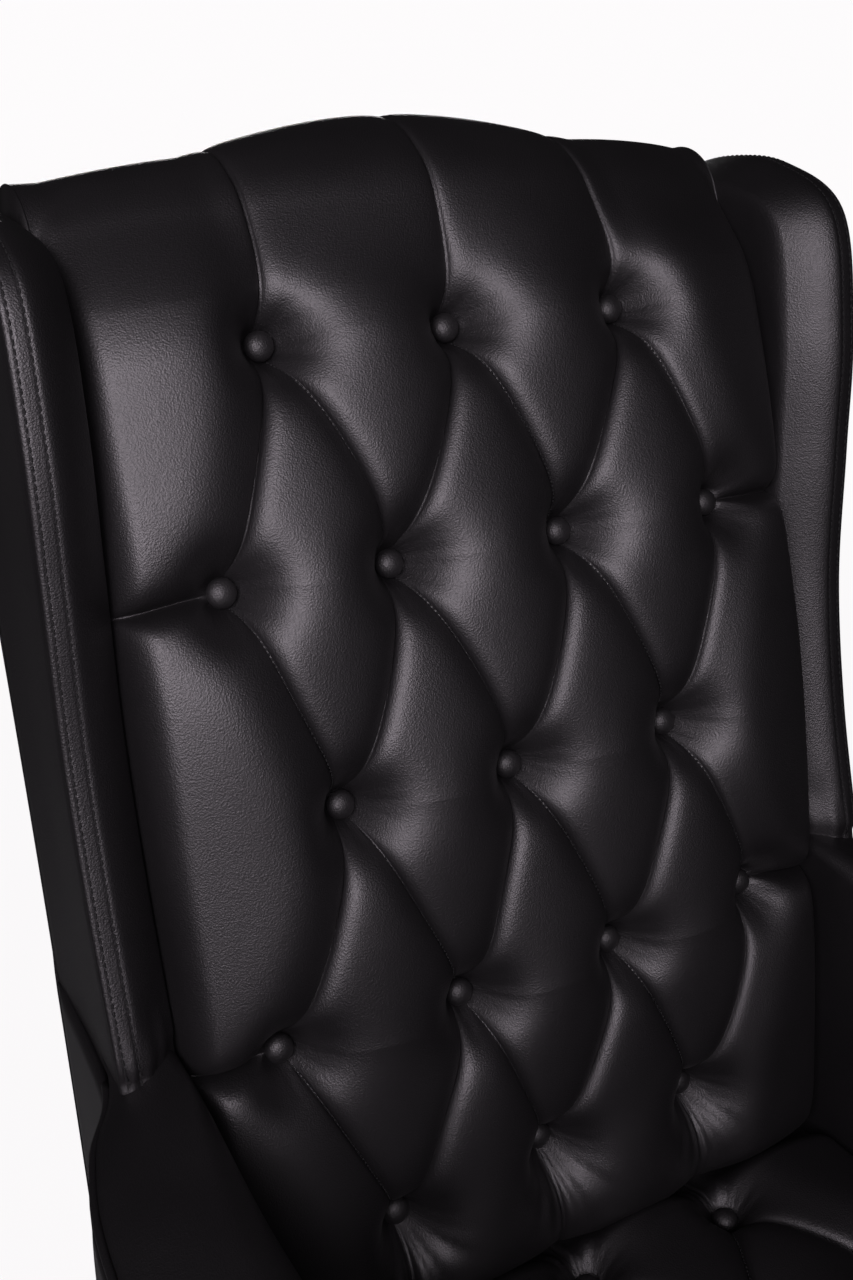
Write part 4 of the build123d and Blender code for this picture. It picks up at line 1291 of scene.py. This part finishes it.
leg_block = 0.060
leg_block_height = 0.034
leg_height_shares = (0, 0.035, 0.075, 0.1, 0.14, 0.22, 0.34, 0.47, 0.6, 0.73, 0.84, 0.93, 1)
leg_radius_shares = (0.43, 0.54, 0.5, 0.36, 0.3, 0.29, 0.33, 0.39, 0.47, 0.54, 0.56, 0.53, 0.49)
leg_bow_shares = (0.06, 0.06, 0.06, 0.05, 0.02, 0.02, 0.07, 0.14, 0.19, 0.18, 0.12, 0.05, 0)
rear_leg_top = 0.050
rear_leg_foot = 0.032
rear_leg_rake = 0.052
rear_leg_shares = (0, 0.006, 0.02, 0.25, 0.5, 0.75, 1)
rear_foot_chamfer = 0.002
foot_rim_share = 0.93
foot_rim_height = 0.0008
glide_height = 0.004
leg_setback = 0.009
leg_corner = 0.004
leg_sides = 48
block_chamfer = ((0.003, 0), (0.0012, 0.0012), (0, 0.003), (0, leg_block_height - 0.0005))


def rounded_square(half, corner, count=7):
    """Points round a square with rounded corners."""
    points = []
    for quarter in range(4):
        for turn in np.linspace(0, pi / 2, count):
            angle = quarter * pi / 2 + turn
            centre_x = (half - corner) * (1 if quarter in (0, 3) else -1)
            centre_y = (half - corner) * (1 if quarter in (0, 1) else -1)
            points.append((centre_x + corner * cos(angle), centre_y + corner * sin(angle)))
    return points


def cabriole_leg(name, side_x):
    """Front leg: a square block, a knee that bows out to the corner, and a pad foot."""
    centre_x = post_outer - leg_setback
    centre_y = front_plane + rail_thickness + leg_setback
    block_low = leg_height - leg_block_height
    shape = smooth_path(list(zip(leg_height_shares, leg_radius_shares, leg_bow_shares)), 64)
    turns = np.arange(leg_sides) * 2 * pi / leg_sides
    rings = []
    for height_share, radius_share, bow_share in shape:
        z = glide_height + (block_low + 0.003 - glide_height) * height_share
        shift = leg_block * bow_share
        radius = leg_block * radius_share
        x = centre_x + shift + radius * np.cos(turns)
        y = centre_y - shift + radius * np.sin(turns)
        rings.append(np.column_stack([side_x * x, y, np.full(leg_sides, z)]))
    foot = rings[0].mean(axis=0)
    rim = foot + (rings[0] - foot) * foot_rim_share
    rings = [rim] + [ring + (0, 0, foot_rim_height) for ring in rings]
    turned = shell_through(name + "_turned", rings, polished_wood)
    block = []
    for inset, up in block_chamfer:
        points = rounded_square(leg_block / 2 - inset, leg_corner)
        block.append([(side_x * (centre_x + x), centre_y + y, block_low + up) for x, y in points])
    return joined(name, [turned, shell_through(name + "_block", block, polished_wood)])


def raked_leg(name, node):
    """Rear leg: square, tapered and raked to the rear, with softened corners."""
    low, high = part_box(node)
    centre_x = (low.x + high.x) / 2
    centre_y = high.y - rear_leg_foot / 2 - rear_leg_rake
    rings = []
    for share in rear_leg_shares:
        z = glide_height + (leg_height - fit_gap - glide_height) * share
        chamfer = rear_foot_chamfer * max(0, 1 - share / rear_leg_shares[2])
        half = (rear_leg_foot + (rear_leg_top - rear_leg_foot) * share) / 2 - chamfer
        y = centre_y + rear_leg_rake * (1 - share)
        rings.append([(centre_x + px, y + py, z) for px, py in rounded_square(half, leg_corner)])
    return shell_through(name, rings, polished_wood)


for side_name, side_x in both_sides:
    settle(cabriole_leg("carved_leg_" + side_name, side_x), "front_leg_" + side_name, slot="polished_wood")
    leg = raked_leg("square_leg_" + side_name, "rear_leg_" + side_name)
    settle(leg, "rear_leg_" + side_name, slot="polished_wood")


# Camera, light and floor

# Where the photograph was taken from, about the pleat point between the button rows
pleat_point = back_place(0.376, 0)
camera_offset = (-0.4814, -0.7265, 0.4619)
camera_yaw = radians(29.93)
camera_pitch = radians(23.31)
focal_share = 1465.5 / 1280

# Lamps as name, place, target, size, watts, tint and spread in degrees
lamps = (
    ("front_light", (-0.93, -0.97, 1.57), (-0.16, 0.15, 1.05), (1.15, 0.80), 10.0, (0.99, 0.955, 1.0), 74),
    ("side_light", (0.9, -2.3, 1.3), (0.0, 0.0, 1.0), (1.6, 1.2), 1.2, (0.98, 0.97, 1.0), 180),
    ("rear_light", (0.9, 2.6, 0.9), (0.0, 0.3, 0.8), (1.2, 1.2), 9.0, (0.99, 0.98, 1.0), 70),
)

# Background, and how much of it the leather mirrors and the floor's shadow keeps
background_white = (0.982, 0.966, 0.974, 1)
floor_grey = (0.50, 0.495, 0.50, 1)
floor_reach = 30.0
mirrored_share = 0.012
shadow_share = 0.12
near_glow = 1.08
room_light = 0.012

# Where the mirrored background and the glow set in, by place on the floor and by direction
floor_mirror_range = (0.6, 2.5)
floor_glow_range = (0.9, 4.5)
room_low_range = (0.2, 0.05)
room_rear_range = (0.0, 0.4)


def photograph_camera():
    camera = bpy.data.cameras.new("photograph_camera")
    camera.sensor_width = 36.0
    camera.lens = camera.sensor_width * focal_share
    camera.clip_start = 0.01
    holder = in_scene("photograph_camera", camera)
    holder.location = Vector((0, *pleat_point)) + Vector(camera_offset)
    holder.rotation_euler = Euler((pi / 2 - camera_pitch, 0, -camera_yaw))
    bpy.context.scene.camera = holder


def area_lamp(name, place, target, size, watts, tint, spread):
    lamp = bpy.data.lights.new(name, "AREA")
    lamp.shape = "RECTANGLE"
    lamp.size, lamp.size_y = size
    lamp.energy = watts
    lamp.color = tint
    lamp.spread = radians(spread)
    holder = in_scene(name, lamp)
    holder.location = place
    aim = Vector(target) - Vector(place)
    holder.rotation_euler = aim.to_track_quat("-Z", "Y").to_euler()


def background_rays(tree, behind):
    """1 where the background is seen directly, through glass, or mirrored from behind the chair."""
    path = tree.add("LightPath")
    mirrored = tree.math("MULTIPLY", path.outputs["Is Glossy Ray"], behind)
    mirrored = tree.math("MULTIPLY", mirrored, mirrored_share)
    seen = tree.math("MAXIMUM", path.outputs["Is Camera Ray"], path.outputs["Is Transmission Ray"])
    return tree.math("MAXIMUM", seen, mirrored)


def white_floor():
    """Floor that keeps the chair's shadow near it, and runs into the white background further off."""
    floor = Finish("pale_floor")
    floor.set(Base_Color=floor_grey, Roughness=0.9, Specular_IOR_Level=0.1)
    away = floor.add("VectorMath", operation="LENGTH", Vector=floor.where)
    parts = floor.add("SeparateXYZ", Vector=floor.where)
    rays = background_rays(floor, floor.eased(parts.outputs["Y"], *floor_mirror_range))
    far = floor.eased(away.outputs["Value"], *floor_glow_range)
    share = floor.math("MULTIPLY_ADD", far, shadow_share, 1 - shadow_share)
    strength = floor.math("MULTIPLY_ADD", far, 1.0 - near_glow, near_glow)
    glow = floor.add("Emission", Color=background_white, Strength=strength)
    mix = floor.add("MixShader", Fac=floor.math("MULTIPLY", rays, share))
    floor.links.new(floor.shader.outputs["BSDF"], mix.inputs[1])
    floor.links.new(glow.outputs[0], mix.inputs[2])
    floor.links.new(mix.outputs[0], floor.nodes["Material Output"].inputs["Surface"])
    return floor.material


def pale_surroundings():
    """World that is white where it is seen, and dim where it lights the chair."""
    world = bpy.data.worlds.new("studio")
    world.use_nodes = True
    bpy.context.scene.world = world
    room = NodeTree(world.node_tree)
    where = room.add("TexCoord").outputs["Generated"]
    parts = room.add("SeparateXYZ", Vector=where)
    low = room.eased(parts.outputs["Z"], *room_low_range)
    rear = room.eased(parts.outputs["Y"], *room_rear_range)
    rays = background_rays(room, room.math("MULTIPLY", low, rear))
    strength = room.add("MapRange", Value=rays, To_Min=room_light, To_Max=1.0)
    room.fill(room.nodes["Background"], Color=background_white, Strength=strength.outputs["Result"])


def studio():
    """Pale floor, pale surroundings and soft lamps in front of the chair."""
    bpy.context.scene.view_settings.view_transform = "Standard"
    pale_surroundings()
    floor_mesh = bpy.data.meshes.new("studio_floor")
    corners = [(floor_reach * x, floor_reach * y, 0) for x, y in ((-1, -1), (1, -1), (1, 1), (-1, 1))]
    floor_mesh.from_pydata(corners, [], [(0, 1, 2, 3)])
    new_piece("studio_floor", floor_mesh, white_floor())
    for lamp in lamps:
        area_lamp(*lamp)


photograph_camera()
studio()
